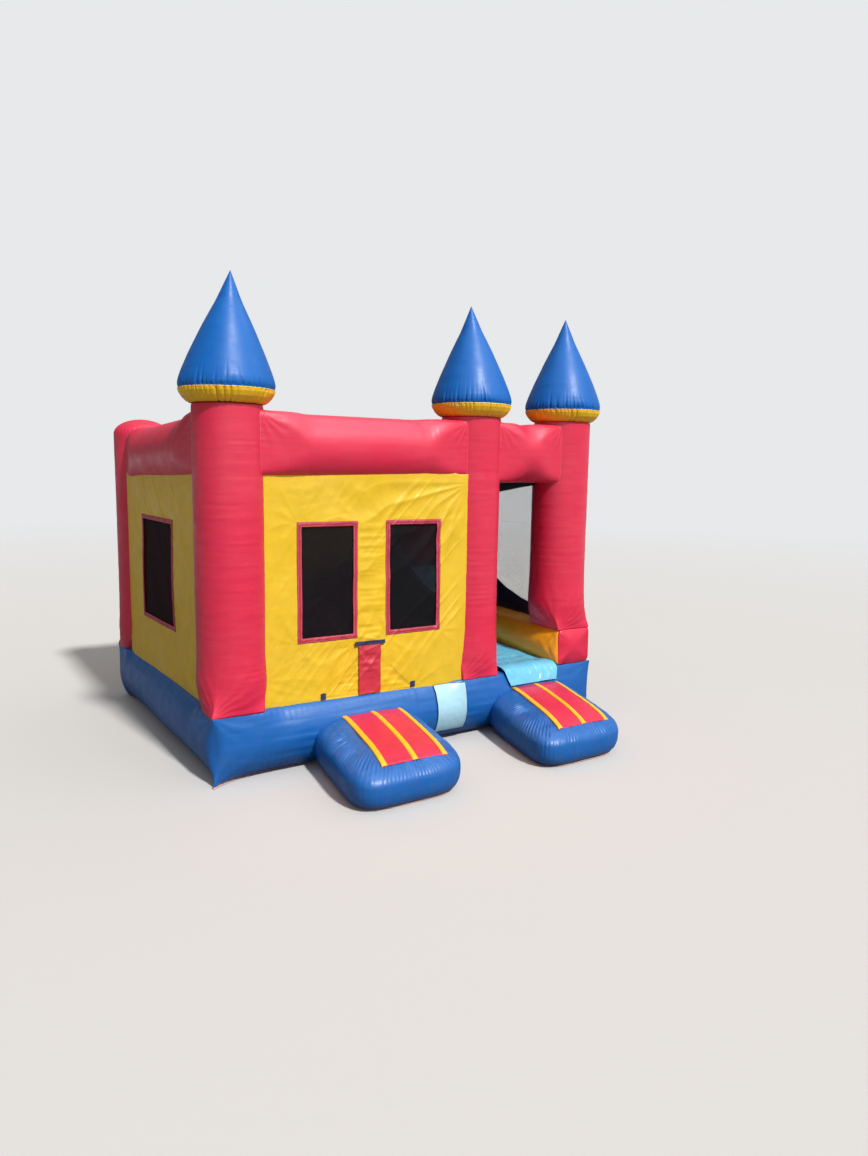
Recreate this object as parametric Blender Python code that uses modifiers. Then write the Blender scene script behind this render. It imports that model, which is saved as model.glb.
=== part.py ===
"""Inflatable castle bounce house with an indoor slide, and the blower that keeps it up.

Metres, +Z up. The origin is the middle of the floor mattress's underside, on the ground. The front, with
the entry slit and the slide exit, faces -Y, and the slide lane is on the +X side. Each air chamber is a skin
with an open side or air ports, because neighbouring chambers share their air.
"""

import math

import bmesh
import bpy
from mathutils import Matrix, Vector

# ---------------------------------------------------------------- driving dimensions
WIDTH = 4.572  # 15 ft
DEPTH = 3.658  # 12 ft
FLOOR_TOP = 0.64
TUBE_RADIUS = 0.32  # columns and beams share it
BEAM_CENTRE_Z = 3.05
COLUMN_INSET = 0.30  # column centre to the mattress edge
PANEL_INSET = 0.10  # wall sheet to the mattress edge
MIDDLE_COLUMN_FROM_LEFT = 2.98
TIP_Z = 4.58

SKIN = 0.008  # drawn thicker than real vinyl, so that the skins mesh well
SHEET = 0.006
NET = 0.004
GAP = 0.0005  # between sewn pieces
CUT_GAP = 0.003  # between a beam's saddle end and its column
ROUND_STEPS = 24

LEFT, RIGHT = -WIDTH / 2, WIDTH / 2
FRONT, BACK = -DEPTH / 2, DEPTH / 2
SEAT_Z = FLOOR_TOP + GAP  # where things stand on the mattress

COLUMN_TOP = 3.43
DOME_TOP = 3.41
SEAM_Z = 3.56  # between a yellow collar and its blue spire
COLLAR_RADIUS = 0.43
WALL_TOP = 2.795
BLOCK_TOP = 1.055

LANE_LEFT = LEFT + 3.305
LANE_RIGHT = LEFT + 4.06
BOLSTER_LEFT = LEFT + 4.07
BOLSTER_RIGHT = RIGHT - 0.02

COLUMN_X = {
    "front_left": LEFT + COLUMN_INSET,
    "middle": LEFT + MIDDLE_COLUMN_FROM_LEFT,
    "front_right": RIGHT - COLUMN_INSET,
    "back_left": LEFT + COLUMN_INSET,
    "back_right": RIGHT - COLUMN_INSET,
}
FRONT_COLUMNS = ("front_left", "middle", "front_right")
FRONT_COLUMN_Y = FRONT + COLUMN_INSET
BACK_COLUMN_Y = BACK - COLUMN_INSET

WINDOW_BOTTOM, WINDOW_TOP = 1.268, 2.324
WINDOW_TRIM = 0.05
LEFT_WINDOW_DROP = 0.04  # the left wall's window hangs a little lower
NET_HEM = 0.02

ENTRY_X = LEFT + 1.63  # middle of the entry slit
ENTRY_TOP = 1.13
ENTRY_HALF = 0.50
FLAP_GAP = 0.006
COVER_HALF, COVER_TOP = 0.12, ENTRY_TOP + 0.008
STRAP_HALF, STRAP_HEIGHT = 0.165, 0.04
TAB_HALF, TAB_HEIGHT = 0.026, 0.06

STEP_WIDTH, STEP_LENGTH = 1.20, 1.24
STEP_BACK_Z, STEP_FRONT_Z = 0.475, 0.41
STEP_EDGE = 0.13
STEPS = {  # centre x at the mattress, and how far the step has veered at its front
    "entry_step": (LEFT + 1.56, -0.20),
    "exit_step": (LEFT + 3.66, -0.32),
}
TREAD_HALF, TREAD_LENGTH, TREAD_OFFSET = 0.34, 1.06, 0.05
TREAD_START = 0.025  # from the mattress to the tread
RIB_WIDTH, RIB_HEIGHT = 0.06, 0.014

PLATFORM_Z, PLATFORM_Y = 1.55, FRONT + 2.50
CLIMB_FRONT, CLIMB_BACK = FRONT + 2.60, BACK - 0.20
CLIMB_LEFT, CLIMB_STEPS = LEFT + 1.95, 4

BLOWER_X, BLOWER_Y = 0.90, BACK + 0.95
DRUM_RADIUS, DRUM_WIDTH, DRUM_Z = 0.20, 0.24, 0.27
NOZZLE_RADIUS, NOZZLE_Z = 0.12, 0.22
SHAFT_RADIUS = 0.008
ROCKER_REST = math.radians(7)  # the switch's off position
TUBE_END_Y = BLOWER_Y - 0.30

ZIP_X, ZIP_Z, ZIP_LENGTH = LEFT + 1.2, 0.30, 0.90
ANCHOR_X = {"back_left": LEFT + 0.30, "back_right": RIGHT - 0.30}
ANCHOR_Z = 0.20

COLOURS = {  # base colour, roughness, metallic
    "red_vinyl": ((0.72, 0.03, 0.07), 0.35, 0.0),
    "blue_vinyl": ((0.02, 0.13, 0.55), 0.32, 0.0),
    "navy_vinyl": ((0.01, 0.02, 0.12), 0.40, 0.0),
    "yellow_vinyl": ((0.88, 0.60, 0.02), 0.45, 0.0),
    "sky_vinyl": ((0.14, 0.58, 0.85), 0.30, 0.0),
    "black_net": ((0.01, 0.01, 0.012), 0.80, 0.0),
    "blue_webbing": ((0.02, 0.03, 0.12), 0.70, 0.0),
    "crimson_webbing": ((0.40, 0.03, 0.08), 0.60, 0.0),
    "zip_nylon": ((0.02, 0.02, 0.02), 0.60, 0.0),
    "blower_plastic": ((0.80, 0.33, 0.02), 0.45, 0.0),
    "dark_plastic": ((0.03, 0.03, 0.03), 0.50, 0.0),
    "steel": ((0.60, 0.60, 0.62), 0.30, 1.0),
}


# ---------------------------------------------------------------- scene helpers
def clear_scene():
    for obj in list(bpy.data.objects):
        bpy.data.objects.remove(obj)


def new_collection(name):
    made = bpy.data.collections.new(name)
    bpy.context.scene.collection.children.link(made)
    return made


def make_material(name):
    colour, roughness, metallic = COLOURS[name]
    made = bpy.data.materials.new(name)
    made.use_nodes = True
    shader = made.node_tree.nodes["Principled BSDF"]
    shader.inputs["Base Color"].default_value = (*colour, 1.0)
    shader.inputs["Roughness"].default_value = roughness
    shader.inputs["Metallic"].default_value = metallic
    return made


def place(obj, collection):
    """Moves obj into this collection only."""
    for holder in list(obj.users_collection):
        holder.objects.unlink(obj)
    collection.objects.link(obj)
    return obj


def finish_part(obj, name, material):
    obj.name = name
    obj.data.name = name
    obj.data.materials.clear()
    obj.data.materials.append(MATERIALS[material])
    return place(obj, PARTS)


def as_cutter(obj, name):
    obj.name = name
    obj.hide_render = True
    obj.display_type = "WIRE"
    return place(obj, CUTTERS)


def object_from(bm, name):
    bmesh.ops.recalc_face_normals(bm, faces=bm.faces)
    mesh = bpy.data.meshes.new(name)
    bm.to_mesh(mesh)
    bm.free()
    obj = bpy.data.objects.new(name, mesh)
    bpy.context.scene.collection.objects.link(obj)
    return obj


def thicken(obj, thickness=SKIN):
    """Gives an open surface its skin, inwards from the outer face."""
    skin = obj.modifiers.new("Skin", "SOLIDIFY")
    skin.thickness = thickness
    skin.offset = -1
    return obj


def boolean(obj, other, operation="DIFFERENCE"):
    cut = obj.modifiers.new(f"{operation.title()} {other.name}", "BOOLEAN")
    cut.operation = operation
    cut.solver = "EXACT"
    cut.object = other


# ---------------------------------------------------------------- shape makers
AXIS_TURNS = {"X": (0, math.pi / 2, 0), "Y": (math.pi / 2, 0, 0), "Z": (0, 0, 0)}


def cylinder(radius, length, centre, axis="Z", ends="NGON", steps=ROUND_STEPS):
    bpy.ops.mesh.primitive_cylinder_add(
        vertices=steps,
        radius=radius,
        depth=length,
        end_fill_type=ends,
        location=centre,
        rotation=AXIS_TURNS[axis],
    )
    made = bpy.context.active_object
    for face in made.data.polygons:
        face.use_smooth = len(face.vertices) == 4
    return made


def box(low, high):
    low, high = Vector(low), Vector(high)
    bpy.ops.mesh.primitive_cube_add(size=1, location=(low + high) / 2)
    made = bpy.context.active_object
    made.data.transform(Matrix.Diagonal((*(high - low), 1)))
    return made


def turned(name, material, profile, location):
    """A hollow skin turned about the vertical through location. profile is (radius, z), top to bottom."""
    bm = bmesh.new()
    points = [bm.verts.new((radius, 0, z)) for radius, z in profile]
    for upper, lower in zip(points, points[1:]):
        bm.edges.new((upper, lower))
    mesh = bpy.data.meshes.new(name)
    bm.to_mesh(mesh)
    bm.free()
    obj = bpy.data.objects.new(name, mesh)
    obj.location = location
    bpy.context.scene.collection.objects.link(obj)
    screw = obj.modifiers.new("Turn", "SCREW")
    screw.axis = "Z"
    screw.angle = math.tau
    screw.steps = screw.render_steps = ROUND_STEPS
    screw.use_smooth_shade = True
    screw.use_merge_vertices = True
    screw.merge_threshold = 0.00001
    thicken(obj)
    return finish_part(obj, name, material)


PLANES = {"XZ": (math.pi / 2, 0, 0), "YZ": (math.pi / 2, 0, math.pi / 2), "XY": (0, 0, 0)}


def plate(name, material, outline, holes=(), plane="XZ", location=(0, 0, 0), thickness=SHEET):
    """A flat sheet: outline and holes are closed lists of points in the plane, centred on location."""
    curve = bpy.data.curves.new(name, "CURVE")
    curve.dimensions = "2D"
    curve.fill_mode = "BOTH"
    curve.extrude = thickness / 2
    for points in (outline, *holes):
        spline = curve.splines.new("POLY")
        spline.points.add(len(points) - 1)
        for point, (u, v) in zip(spline.points, points):
            point.co = (u, v, 0, 1)
        spline.use_cyclic_u = True
    obj = bpy.data.objects.new(name, curve)
    obj.location = location
    obj.rotation_euler = PLANES[plane]
    bpy.context.scene.collection.objects.link(obj)
    return finish_part(obj, name, material)


def prism(name, material, outline, plane, start, end):
    """A chamber with this side outline, open underneath, where its air comes in from the mattress."""
    if plane == "YZ":
        corners = [(start, u, v) for u, v in outline]
        across = (end - start, 0, 0)
    else:
        corners = [(u, start, v) for u, v in outline]
        across = (0, end - start, 0)
    bm = bmesh.new()
    side = bm.faces.new([bm.verts.new(corner) for corner in corners])
    grown = bmesh.ops.extrude_face_region(bm, geom=[side], use_keep_orig=True)["geom"]
    bmesh.ops.translate(bm, vec=across, verts=[g for g in grown if isinstance(g, bmesh.types.BMVert)])
    bottom = min(v for _, v in outline)
    under = [f for f in bm.faces if all(abs(vert.co.z - bottom) < 1e-6 for vert in f.verts)]
    bmesh.ops.recalc_face_normals(bm, faces=bm.faces)
    bmesh.ops.delete(bm, geom=under, context="FACES_ONLY")
    obj = object_from(bm, name)
    thicken(obj)
    return finish_part(obj, name, material)


def rectangle(low, high):
    (u0, v0), (u1, v1) = low, high
    return [(u0, v0), (u1, v0), (u1, v1), (u0, v1)]


def circle(centre, radius, steps=ROUND_STEPS):
    turns = (math.tau * i / steps for i in range(steps))
    return [(centre[0] + radius * math.cos(t), centre[1] + radius * math.sin(t)) for t in turns]


# ---------------------------------------------------------------- the inflated structure
def column_place(which):
    y = FRONT_COLUMN_Y if which in FRONT_COLUMNS else BACK_COLUMN_Y
    return Vector((COLUMN_X[which], y, 0))


def column_cutters():
    """One solid per column, a little wider than it, that trims whatever meets the column."""
    height = DOME_TOP + 0.2
    lift = Vector((0, 0, height / 2 + FLOOR_TOP))
    cutters = {}
    for which in COLUMN_X:
        solid = cylinder(TUBE_RADIUS + CUT_GAP, height, column_place(which) + lift)
        cutters[which] = as_cutter(solid, f"cut_{which}")
    return cutters


def floor_mattress():
    rounding = 0.12
    obj = box((LEFT, FRONT, 0), (RIGHT, BACK, FLOOR_TOP))
    bm = bmesh.new()
    bm.from_mesh(obj.data)
    half = FLOOR_TOP / 2
    low_edges = [e for e in bm.edges if all(v.co.z < 0 for v in e.verts)]
    bmesh.ops.bevel(bm, geom=low_edges, offset=rounding, segments=3, profile=0.5, affect="EDGES")
    bm.to_mesh(obj.data)
    bm.free()
    thicken(obj)
    port = 0.08
    for which in COLUMN_X:
        hole = cylinder(port, 0.2, column_place(which) + Vector((0, 0, FLOOR_TOP)), steps=12)
        boolean(obj, as_cutter(hole, f"air_port_{which}"))
    for name, (x, _) in STEPS.items():
        hole = cylinder(port, 0.2, (x, FRONT, half / 2), "Y", steps=12)
        boolean(obj, as_cutter(hole, f"air_port_{name}"))
    inlet = cylinder(NOZZLE_RADIUS, 0.2, (BLOWER_X, BACK, NOZZLE_Z), "Y", steps=16)
    boolean(obj, as_cutter(inlet, "air_inlet"))
    return finish_part(obj, "floor_mattress", "blue_vinyl")


def columns():
    for which in FRONT_COLUMNS:
        foot = BLOCK_TOP + GAP if which == "front_right" else SEAT_Z
        height = COLUMN_TOP - foot
        centre = column_place(which) + Vector((0, 0, foot + height / 2))
        tube = cylinder(TUBE_RADIUS, height, centre, ends="NOTHING")
        finish_part(thicken(tube), f"column_{which}", "red_vinyl")
    dome_height = 0.18
    for which in ("back_left", "back_right"):
        turns = [math.pi / 2 * i / 4 for i in range(5)]
        spring = DOME_TOP - dome_height
        dome = [(TUBE_RADIUS * math.sin(t), spring + dome_height * math.cos(t)) for t in turns]
        turned(f"column_{which}", "red_vinyl", [*dome, (TUBE_RADIUS, SEAT_Z)], column_place(which))


def turrets():
    """A yellow collar and a blue spire on each front column."""
    cone_height = TIP_Z - SEAM_Z
    lip = 0.02  # upright where two skins are sewn edge to edge
    collar = [
        (COLLAR_RADIUS, SEAM_Z - GAP),
        (COLLAR_RADIUS, SEAM_Z - lip),
        (0.40, SEAM_Z - 0.07),
        (TUBE_RADIUS, COLUMN_TOP + lip),
        (TUBE_RADIUS, COLUMN_TOP + GAP),
    ]
    # The spire's sides are straight to the tip and round off where they meet the collar.
    taper = 0.474  # radius per metre below the tip
    below_tip = [cone_height * share for share in (0.1, 0.4, 0.7)]
    straight = [(taper * down, TIP_Z - down) for down in below_tip]
    rounded = [(0.397, SEAM_Z + 0.15), (COLLAR_RADIUS, SEAM_Z + lip), (COLLAR_RADIUS, SEAM_Z)]
    spire = [(0, TIP_Z), *straight, *rounded]
    for which in FRONT_COLUMNS:
        turned(f"collar_{which}", "yellow_vinyl", collar, column_place(which))
        turned(f"spire_{which}", "blue_vinyl", spire, column_place(which))


def corner_block():
    """The red block that the front right column stands on."""
    side = rectangle((FRONT + 0.005, SEAT_Z), (FRONT + 0.62, BLOCK_TOP))
    prism("corner_block", "red_vinyl", side, "YZ", BOLSTER_LEFT, BOLSTER_RIGHT)


def beams(cutters):
    """Horizontal tubes between the columns. The side beams are also trimmed by the front and back ones."""
    spans = {
        "beam_front": ("front_left", "middle"),
        "beam_slide_exit": ("middle", "front_right"),
        "beam_back": ("back_left", "back_right"),
        "beam_left": ("front_left", "back_left"),
        "beam_right": ("front_right", "back_right"),
    }
    crossing = {}
    for y, side in ((FRONT_COLUMN_Y, "front"), (BACK_COLUMN_Y, "back")):
        solid = cylinder(TUBE_RADIUS + CUT_GAP, WIDTH - 2 * COLUMN_INSET, (0, y, BEAM_CENTRE_Z), "X")
        crossing[side] = as_cutter(solid, f"cut_{side}_beams")
    for name, (first, last) in spans.items():
        start, end = column_place(first), column_place(last)
        centre = (start + end) / 2 + Vector((0, 0, BEAM_CENTRE_Z))
        axis = "X" if start.y == end.y else "Y"
        tube = cylinder(TUBE_RADIUS, (end - start).length, centre, axis, ends="NOTHING")
        thicken(tube)
        boolean(tube, cutters[first])
        boolean(tube, cutters[last])
        if axis == "Y":
            boolean(tube, crossing["front"])
            boolean(tube, crossing["back"])
        finish_part(tube, name, "red_vinyl")


# ---------------------------------------------------------------- walls, windows and roof
def window(name, plane, wall_at, low_u, high_u, outward, drop=0.0):
    """A net behind the wall sheet and a webbing trim in front of it, and the hole they need in the sheet."""
    bottom, top = WINDOW_BOTTOM - drop, WINDOW_TOP - drop

    def grown(margin):
        return rectangle((low_u - margin, bottom - margin), (high_u + margin, top + margin))

    def off_wall(distance):
        at = wall_at + outward * distance
        return (0, at, 0) if plane == "XZ" else (at, 0, 0)

    clear = SHEET / 2 + NET / 2 + GAP
    hole = grown(0)
    plate(f"net_{name}", "black_net", grown(NET_HEM), (), plane, off_wall(-clear), NET)
    plate(f"trim_{name}", "crimson_webbing", grown(WINDOW_TRIM), (hole,), plane, off_wall(clear), NET)
    return hole


def wall_reach():
    """How far a wall sheet starts from a column's centre, where it meets the column's side."""
    off_centre = COLUMN_INSET - PANEL_INSET
    return math.sqrt(TUBE_RADIUS**2 - off_centre**2) + 0.008


def front_wall():
    y = FRONT + PANEL_INSET
    reach = wall_reach()
    start, end = COLUMN_X["front_left"] + reach, COLUMN_X["middle"] - reach
    foot = SEAT_Z + 0.005
    holes = [
        window("front_window_left", "XZ", y, LEFT + 0.919, LEFT + 1.452, -1),
        window("front_window_right", "XZ", y, LEFT + 1.866, LEFT + 2.403, -1),
    ]
    # The sheet's foot is cut away in a triangle between the tabs, where the two flaps hang.
    outline = [
        (start, foot),
        (ENTRY_X - ENTRY_HALF, foot),
        (ENTRY_X, ENTRY_TOP),
        (ENTRY_X + ENTRY_HALF, foot),
        (end, foot),
        (end, WALL_TOP),
        (start, WALL_TOP),
    ]
    plate("wall_front", "yellow_vinyl", outline, holes, "XZ", (0, y, 0))
    entry(y, foot)


def entry(y, foot):
    """The slit that children crawl through: two flaps behind a red strip, with blue webbing at its ends.

    The flaps' origins are on the slanting edges they hang by, and the strip's is on its top edge.
    """
    for name, side in (("entry_flap_left", -1), ("entry_flap_right", 1)):
        corner = ENTRY_X + side * (ENTRY_HALF - 3 * FLAP_GAP)
        reach = ENTRY_X + side * FLAP_GAP / 2 - corner
        outline = [(0, 0), (reach, 0), (reach, ENTRY_TOP - 3 * FLAP_GAP - foot)]
        plate(name, "yellow_vinyl", outline[::side], (), "XZ", (corner, y, foot))
    cover_y = y - SHEET - NET / 2
    cover = rectangle((-COVER_HALF, foot - COVER_TOP), (COVER_HALF, 0))
    plate("entry_cover", "red_vinyl", cover, (), "XZ", (ENTRY_X, cover_y, COVER_TOP), NET)
    strap = rectangle((-STRAP_HALF, 0), (STRAP_HALF, STRAP_HEIGHT))
    plate("entry_strap", "blue_webbing", strap, (), "XZ", (ENTRY_X, cover_y, COVER_TOP + 0.004), NET)
    tab = rectangle((-TAB_HALF, 0), (TAB_HALF, TAB_HEIGHT))
    for name, x in (("entry_tab_left", ENTRY_X - ENTRY_HALF), ("entry_tab_right", ENTRY_X + ENTRY_HALF)):
        plate(name, "blue_webbing", tab, (), "XZ", (x, cover_y, foot), NET)


def side_walls():
    reach = wall_reach()
    foot = SEAT_Z + 0.005
    low, high = FRONT_COLUMN_Y + reach, BACK_COLUMN_Y - reach
    x = LEFT + PANEL_INSET
    hole = window("left_window", "YZ", x, FRONT + 1.44, FRONT + 2.48, -1, LEFT_WINDOW_DROP)
    sheet = rectangle((low, foot), (high, WALL_TOP))
    plate("wall_left", "yellow_vinyl", sheet, (hole,), "YZ", (x, 0, 0))
    y = BACK - PANEL_INSET
    start, end = COLUMN_X["back_left"] + reach, COLUMN_X["back_right"] - reach
    hole = window("back_window", "XZ", y, LEFT + 1.0, LEFT + 2.3, 1)
    sheet = rectangle((start, foot), (end, WALL_TOP))
    plate("wall_back", "yellow_vinyl", sheet, (hole,), "XZ", (0, y, 0))


def screen_line(y):
    """Height of the slide's side screens above the ground: they follow the slide up to the platform."""
    along = y - FRONT
    climb_share = 1 / (1 + math.exp(-3.0 * (along - 2.1)))
    return 1.03 + 0.16 * along + 0.30 * climb_share * along


def right_wall():
    """A navy sheet that follows the slide, with netting above it."""
    x = RIGHT - PANEL_INSET
    reach = wall_reach()
    low, high = FRONT_COLUMN_Y + reach, BACK_COLUMN_Y - reach
    stations = [low + (high - low) * i / 8 for i in range(9)]
    top = [(y, screen_line(y)) for y in stations]
    foot = BLOCK_TOP + 0.01
    plate("wall_right", "navy_vinyl", [(low, foot), (high, foot), *reversed(top)], (), "YZ", (x, 0, 0))
    above = [(y, z + GAP * 4) for y, z in top]
    plate("net_right", "black_net", [*above, (high, WALL_TOP), (low, WALL_TOP)], (), "YZ", (x, 0, 0), NET)


def roof_net(cutters):
    """Black shade netting hung under the beams, sagging in the middle."""
    edge_z, sag = 2.72, 0.14
    width, depth = WIDTH - 2 * COLUMN_INSET, DEPTH - 2 * COLUMN_INSET
    bpy.ops.mesh.primitive_grid_add(x_subdivisions=6, y_subdivisions=5, size=1, location=(0, 0, 0))
    obj = bpy.context.active_object
    for vert in obj.data.vertices:
        u, v = vert.co.x * 2, vert.co.y * 2
        vert.co = (u * width / 2, v * depth / 2, edge_z - sag * (1 - u * u) * (1 - v * v))
    thicken(obj, NET)
    for cutter in cutters.values():
        boolean(obj, cutter)
    finish_part(obj, "roof_net", "black_net")


# ---------------------------------------------------------------- steps
def steps():
    for name, (x, veer) in STEPS.items():
        step_body(name, x, veer)
        step_tread(f"{name}_tread", x + TREAD_OFFSET, veer)


def step_body(name, x, veer):
    """A cushion that slopes down away from the house and opens into the mattress behind it."""
    back = FRONT - 0.012
    obj = box((x - STEP_WIDTH / 2, back - STEP_LENGTH, 0), (x + STEP_WIDTH / 2, back, STEP_BACK_Z))
    bm = bmesh.new()
    bm.from_mesh(obj.data)
    bmesh.ops.translate(bm, vec=obj.location, verts=bm.verts)
    obj.location = (0, 0, 0)
    for vert in bm.verts:
        if vert.co.y < back - STEP_LENGTH / 2:
            vert.co.x += veer
            if vert.co.z > STEP_BACK_Z / 2:
                vert.co.z = STEP_FRONT_Z
    behind = [f for f in bm.faces if all(v.co.y > back - 1e-6 for v in f.verts)]
    bmesh.ops.delete(bm, geom=behind, context="FACES_ONLY")
    outer = [e for e in bm.edges if not e.is_boundary]
    bmesh.ops.bevel(bm, geom=outer, offset=STEP_EDGE, segments=3, profile=0.5, affect="EDGES")
    bm.to_mesh(obj.data)
    bm.free()
    thicken(obj)
    finish_part(obj, name, "blue_vinyl")


def tread_outline():
    """Across the tread: a pad with three raised ribs, as (x, height) from the middle of its underside."""
    ribs = (-TREAD_HALF + RIB_WIDTH / 2, 0, TREAD_HALF - RIB_WIDTH / 2)
    slant = RIB_WIDTH / 20
    outline = [(-TREAD_HALF, 0), (TREAD_HALF, 0)]
    for rib in reversed(ribs):
        right, left = rib + RIB_WIDTH / 2, rib - RIB_WIDTH / 2
        if right < TREAD_HALF:
            outline.append((right, SHEET))
        outline += [(right - slant, RIB_HEIGHT), (left + slant, RIB_HEIGHT)]
        if left > -TREAD_HALF:
            outline.append((left, SHEET))
    return outline


def step_tread(name, x, veer):
    """The red pad and its yellow ribs: one outline carried down the slope of the step."""
    lift = 0.004
    outline = tread_outline()
    bm = bmesh.new()
    ends = []
    for out in (TREAD_START, TREAD_START + TREAD_LENGTH):
        share = out / STEP_LENGTH
        middle = x + veer * share
        under = STEP_BACK_Z + (STEP_FRONT_Z - STEP_BACK_Z) * share + lift
        ends.append([bm.verts.new((middle + across, FRONT - out, under + up)) for across, up in outline])
    back, front = ends
    bm.faces.new(back)
    bm.faces.new(front)
    for i, _ in enumerate(outline):
        after = (i + 1) % len(outline)
        bm.faces.new((back[i], back[after], front[after], front[i]))
    finish_part(object_from(bm, name), name, "red_vinyl")


# ---------------------------------------------------------------- slide and climb
def slide_line():
    """(y, z) along the slide's surface, from its exit to the back of the platform."""
    run_out = [(FRONT + 0.03, 0.665), (FRONT + 1.0, 0.725)]
    foot = Vector(run_out[-1])
    head = Vector((PLATFORM_Y, PLATFORM_Z))
    bend = Vector((FRONT + 1.45, 0.755))  # where the slope and the run-out would cross
    turn = []
    for i in range(1, 7):
        t = i / 7
        turn.append((1 - t) ** 2 * foot + 2 * t * (1 - t) * bend + t * t * head)
    return [*run_out, *((p.x, p.y) for p in turn), (head.x, head.y), (BACK - 0.20, PLATFORM_Z)]


def slide(cutters):
    surface = slide_line()
    outline = [(surface[0][0], SEAT_Z), *surface, (surface[-1][0], SEAT_Z)]
    bed = prism("slide_bed", "blue_vinyl", outline, "YZ", LANE_LEFT, LANE_RIGHT)
    boolean(bed, cutters["back_right"])
    # The liner lies on the bed and hangs over the mattress's front edge, down to the exit step.
    lift = 0.002
    hang_y, hem_z = FRONT - 0.003, STEP_BACK_Z + 0.03
    outer_y = hang_y - SHEET
    lower = [(hang_y, hem_z), (hang_y, FLOOR_TOP + 0.005), *((y, z + lift) for y, z in surface[:-1])]
    upper = [(y, z + SHEET) for y, z in lower[2:]]
    outline = [*lower, *reversed(upper), (outer_y, FLOOR_TOP + 0.01), (outer_y, hem_z)]
    width = LANE_RIGHT - LANE_LEFT - 0.01
    plate("slide_liner", "sky_vinyl", outline, (), "YZ", ((LANE_LEFT + LANE_RIGHT) / 2, 0, 0), width)

    rise = 0.04
    back = BACK_COLUMN_Y - TUBE_RADIUS - 0.01
    side = [(FRONT + 0.622, SEAT_Z), (back, SEAT_Z), (back, BLOCK_TOP + rise), (FRONT + 0.622, BLOCK_TOP)]
    prism("slide_bolster", "yellow_vinyl", side, "YZ", BOLSTER_LEFT, BOLSTER_RIGHT - 0.13)

    front, end = FRONT_COLUMN_Y + TUBE_RADIUS + 0.012, PLATFORM_Y + 0.06
    stations = [front + (end - front) * i / 6 for i in range(7)]
    top = [(y, screen_line(y) + 0.08) for y in stations]
    outline = [(front, SEAT_Z), (end, SEAT_Z), *reversed(top)]
    prism("slide_divider", "navy_vinyl", outline, "YZ", LANE_LEFT - 0.235, LANE_LEFT - 0.01)


def climb():
    """Inflated stairs along the back of the jumping area, up to the slide platform."""
    rise = (PLATFORM_Z - SEAT_Z) / CLIMB_STEPS
    end = LANE_LEFT - 0.012
    run = (end - CLIMB_LEFT) / CLIMB_STEPS
    outline = [(CLIMB_LEFT, SEAT_Z)]
    for i in range(CLIMB_STEPS):
        outline.append((CLIMB_LEFT + i * run, SEAT_Z + (i + 1) * rise))
        outline.append((CLIMB_LEFT + (i + 1) * run, SEAT_Z + (i + 1) * rise))
    outline.append((end, SEAT_Z))
    prism("climb_stairs", "red_vinyl", outline, "XZ", CLIMB_FRONT, CLIMB_BACK)


# ---------------------------------------------------------------- blower, tube, zip and anchors
def inflation_tube():
    start = BACK + 0.004
    length = TUBE_END_Y + 0.06 - start
    tube_at = (BLOWER_X, start + length / 2, NOZZLE_Z)
    tube = cylinder(NOZZLE_RADIUS + 0.03, length, tube_at, "Y", ends="NOTHING")
    finish_part(thicken(tube, SHEET), "inflation_tube", "blue_vinyl")
    strap_at = (BLOWER_X, TUBE_END_Y + 0.03, NOZZLE_Z)
    strap = cylinder(NOZZLE_RADIUS + 0.036, 0.03, strap_at, "Y", ends="NOTHING")
    finish_part(thicken(strap, 0.005), "tube_strap", "blue_webbing")


def blower():
    centre = Vector((BLOWER_X, BLOWER_Y, DRUM_Z))
    wall = 0.008
    housing = cylinder(DRUM_RADIUS, DRUM_WIDTH, centre, "X")
    nozzle_length = BLOWER_Y - TUBE_END_Y
    nozzle_at = Vector((BLOWER_X, BLOWER_Y - nozzle_length / 2, NOZZLE_Z))
    foot_half = Vector((0.13, 0.19, 0.05))
    foot_middle = Vector((BLOWER_X, BLOWER_Y, foot_half.z))
    cheek = Vector((DRUM_WIDTH / 2, 0, 0))
    switch_at = centre - cheek + Vector((0, 0.12, 0))
    case_low = switch_at - Vector((0.03, 0.03, 0.04))
    case_high = switch_at + Vector((0.01, 0.03, 0.04))
    pocket_low = switch_at + Vector((-0.06, -0.018, -0.014))
    pocket_high = switch_at + Vector((-0.020, 0.018, 0.014))
    added = {
        "add_nozzle": cylinder(NOZZLE_RADIUS, nozzle_length, nozzle_at, "Y"),
        "add_foot": box(foot_middle - foot_half, foot_middle + foot_half),
        "add_switch_box": box(case_low, case_high),
    }
    bore = NOZZLE_RADIUS - wall
    removed = {
        "hollow_drum": cylinder(DRUM_RADIUS - wall, DRUM_WIDTH - 2 * wall, centre, "X"),
        "hollow_nozzle": cylinder(bore, nozzle_length + 0.1, nozzle_at - Vector((0, 0.05, 0)), "Y"),
        "intake": cylinder(0.10, 0.1, centre + cheek, "X"),
        "shaft_hole": cylinder(SHAFT_RADIUS + 0.006, 0.1, centre - cheek, "X", steps=12),
        "switch_pocket": box(pocket_low, pocket_high),
    }
    for name, other in added.items():
        boolean(housing, as_cutter(other, name), "UNION")
    for name, other in removed.items():
        boolean(housing, as_cutter(other, name))
    finish_part(housing, "blower_housing", "blower_plastic")
    impeller(centre)
    motor_and_grille(centre)
    half = Vector((0.005, 0.015, 0.011))
    rocker_at = switch_at - Vector((0.029, 0, 0))
    rocker = box(rocker_at - half, rocker_at + half)
    rocker.rotation_euler.y = ROCKER_REST
    finish_part(rocker, "blower_switch", "dark_plastic")


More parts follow.
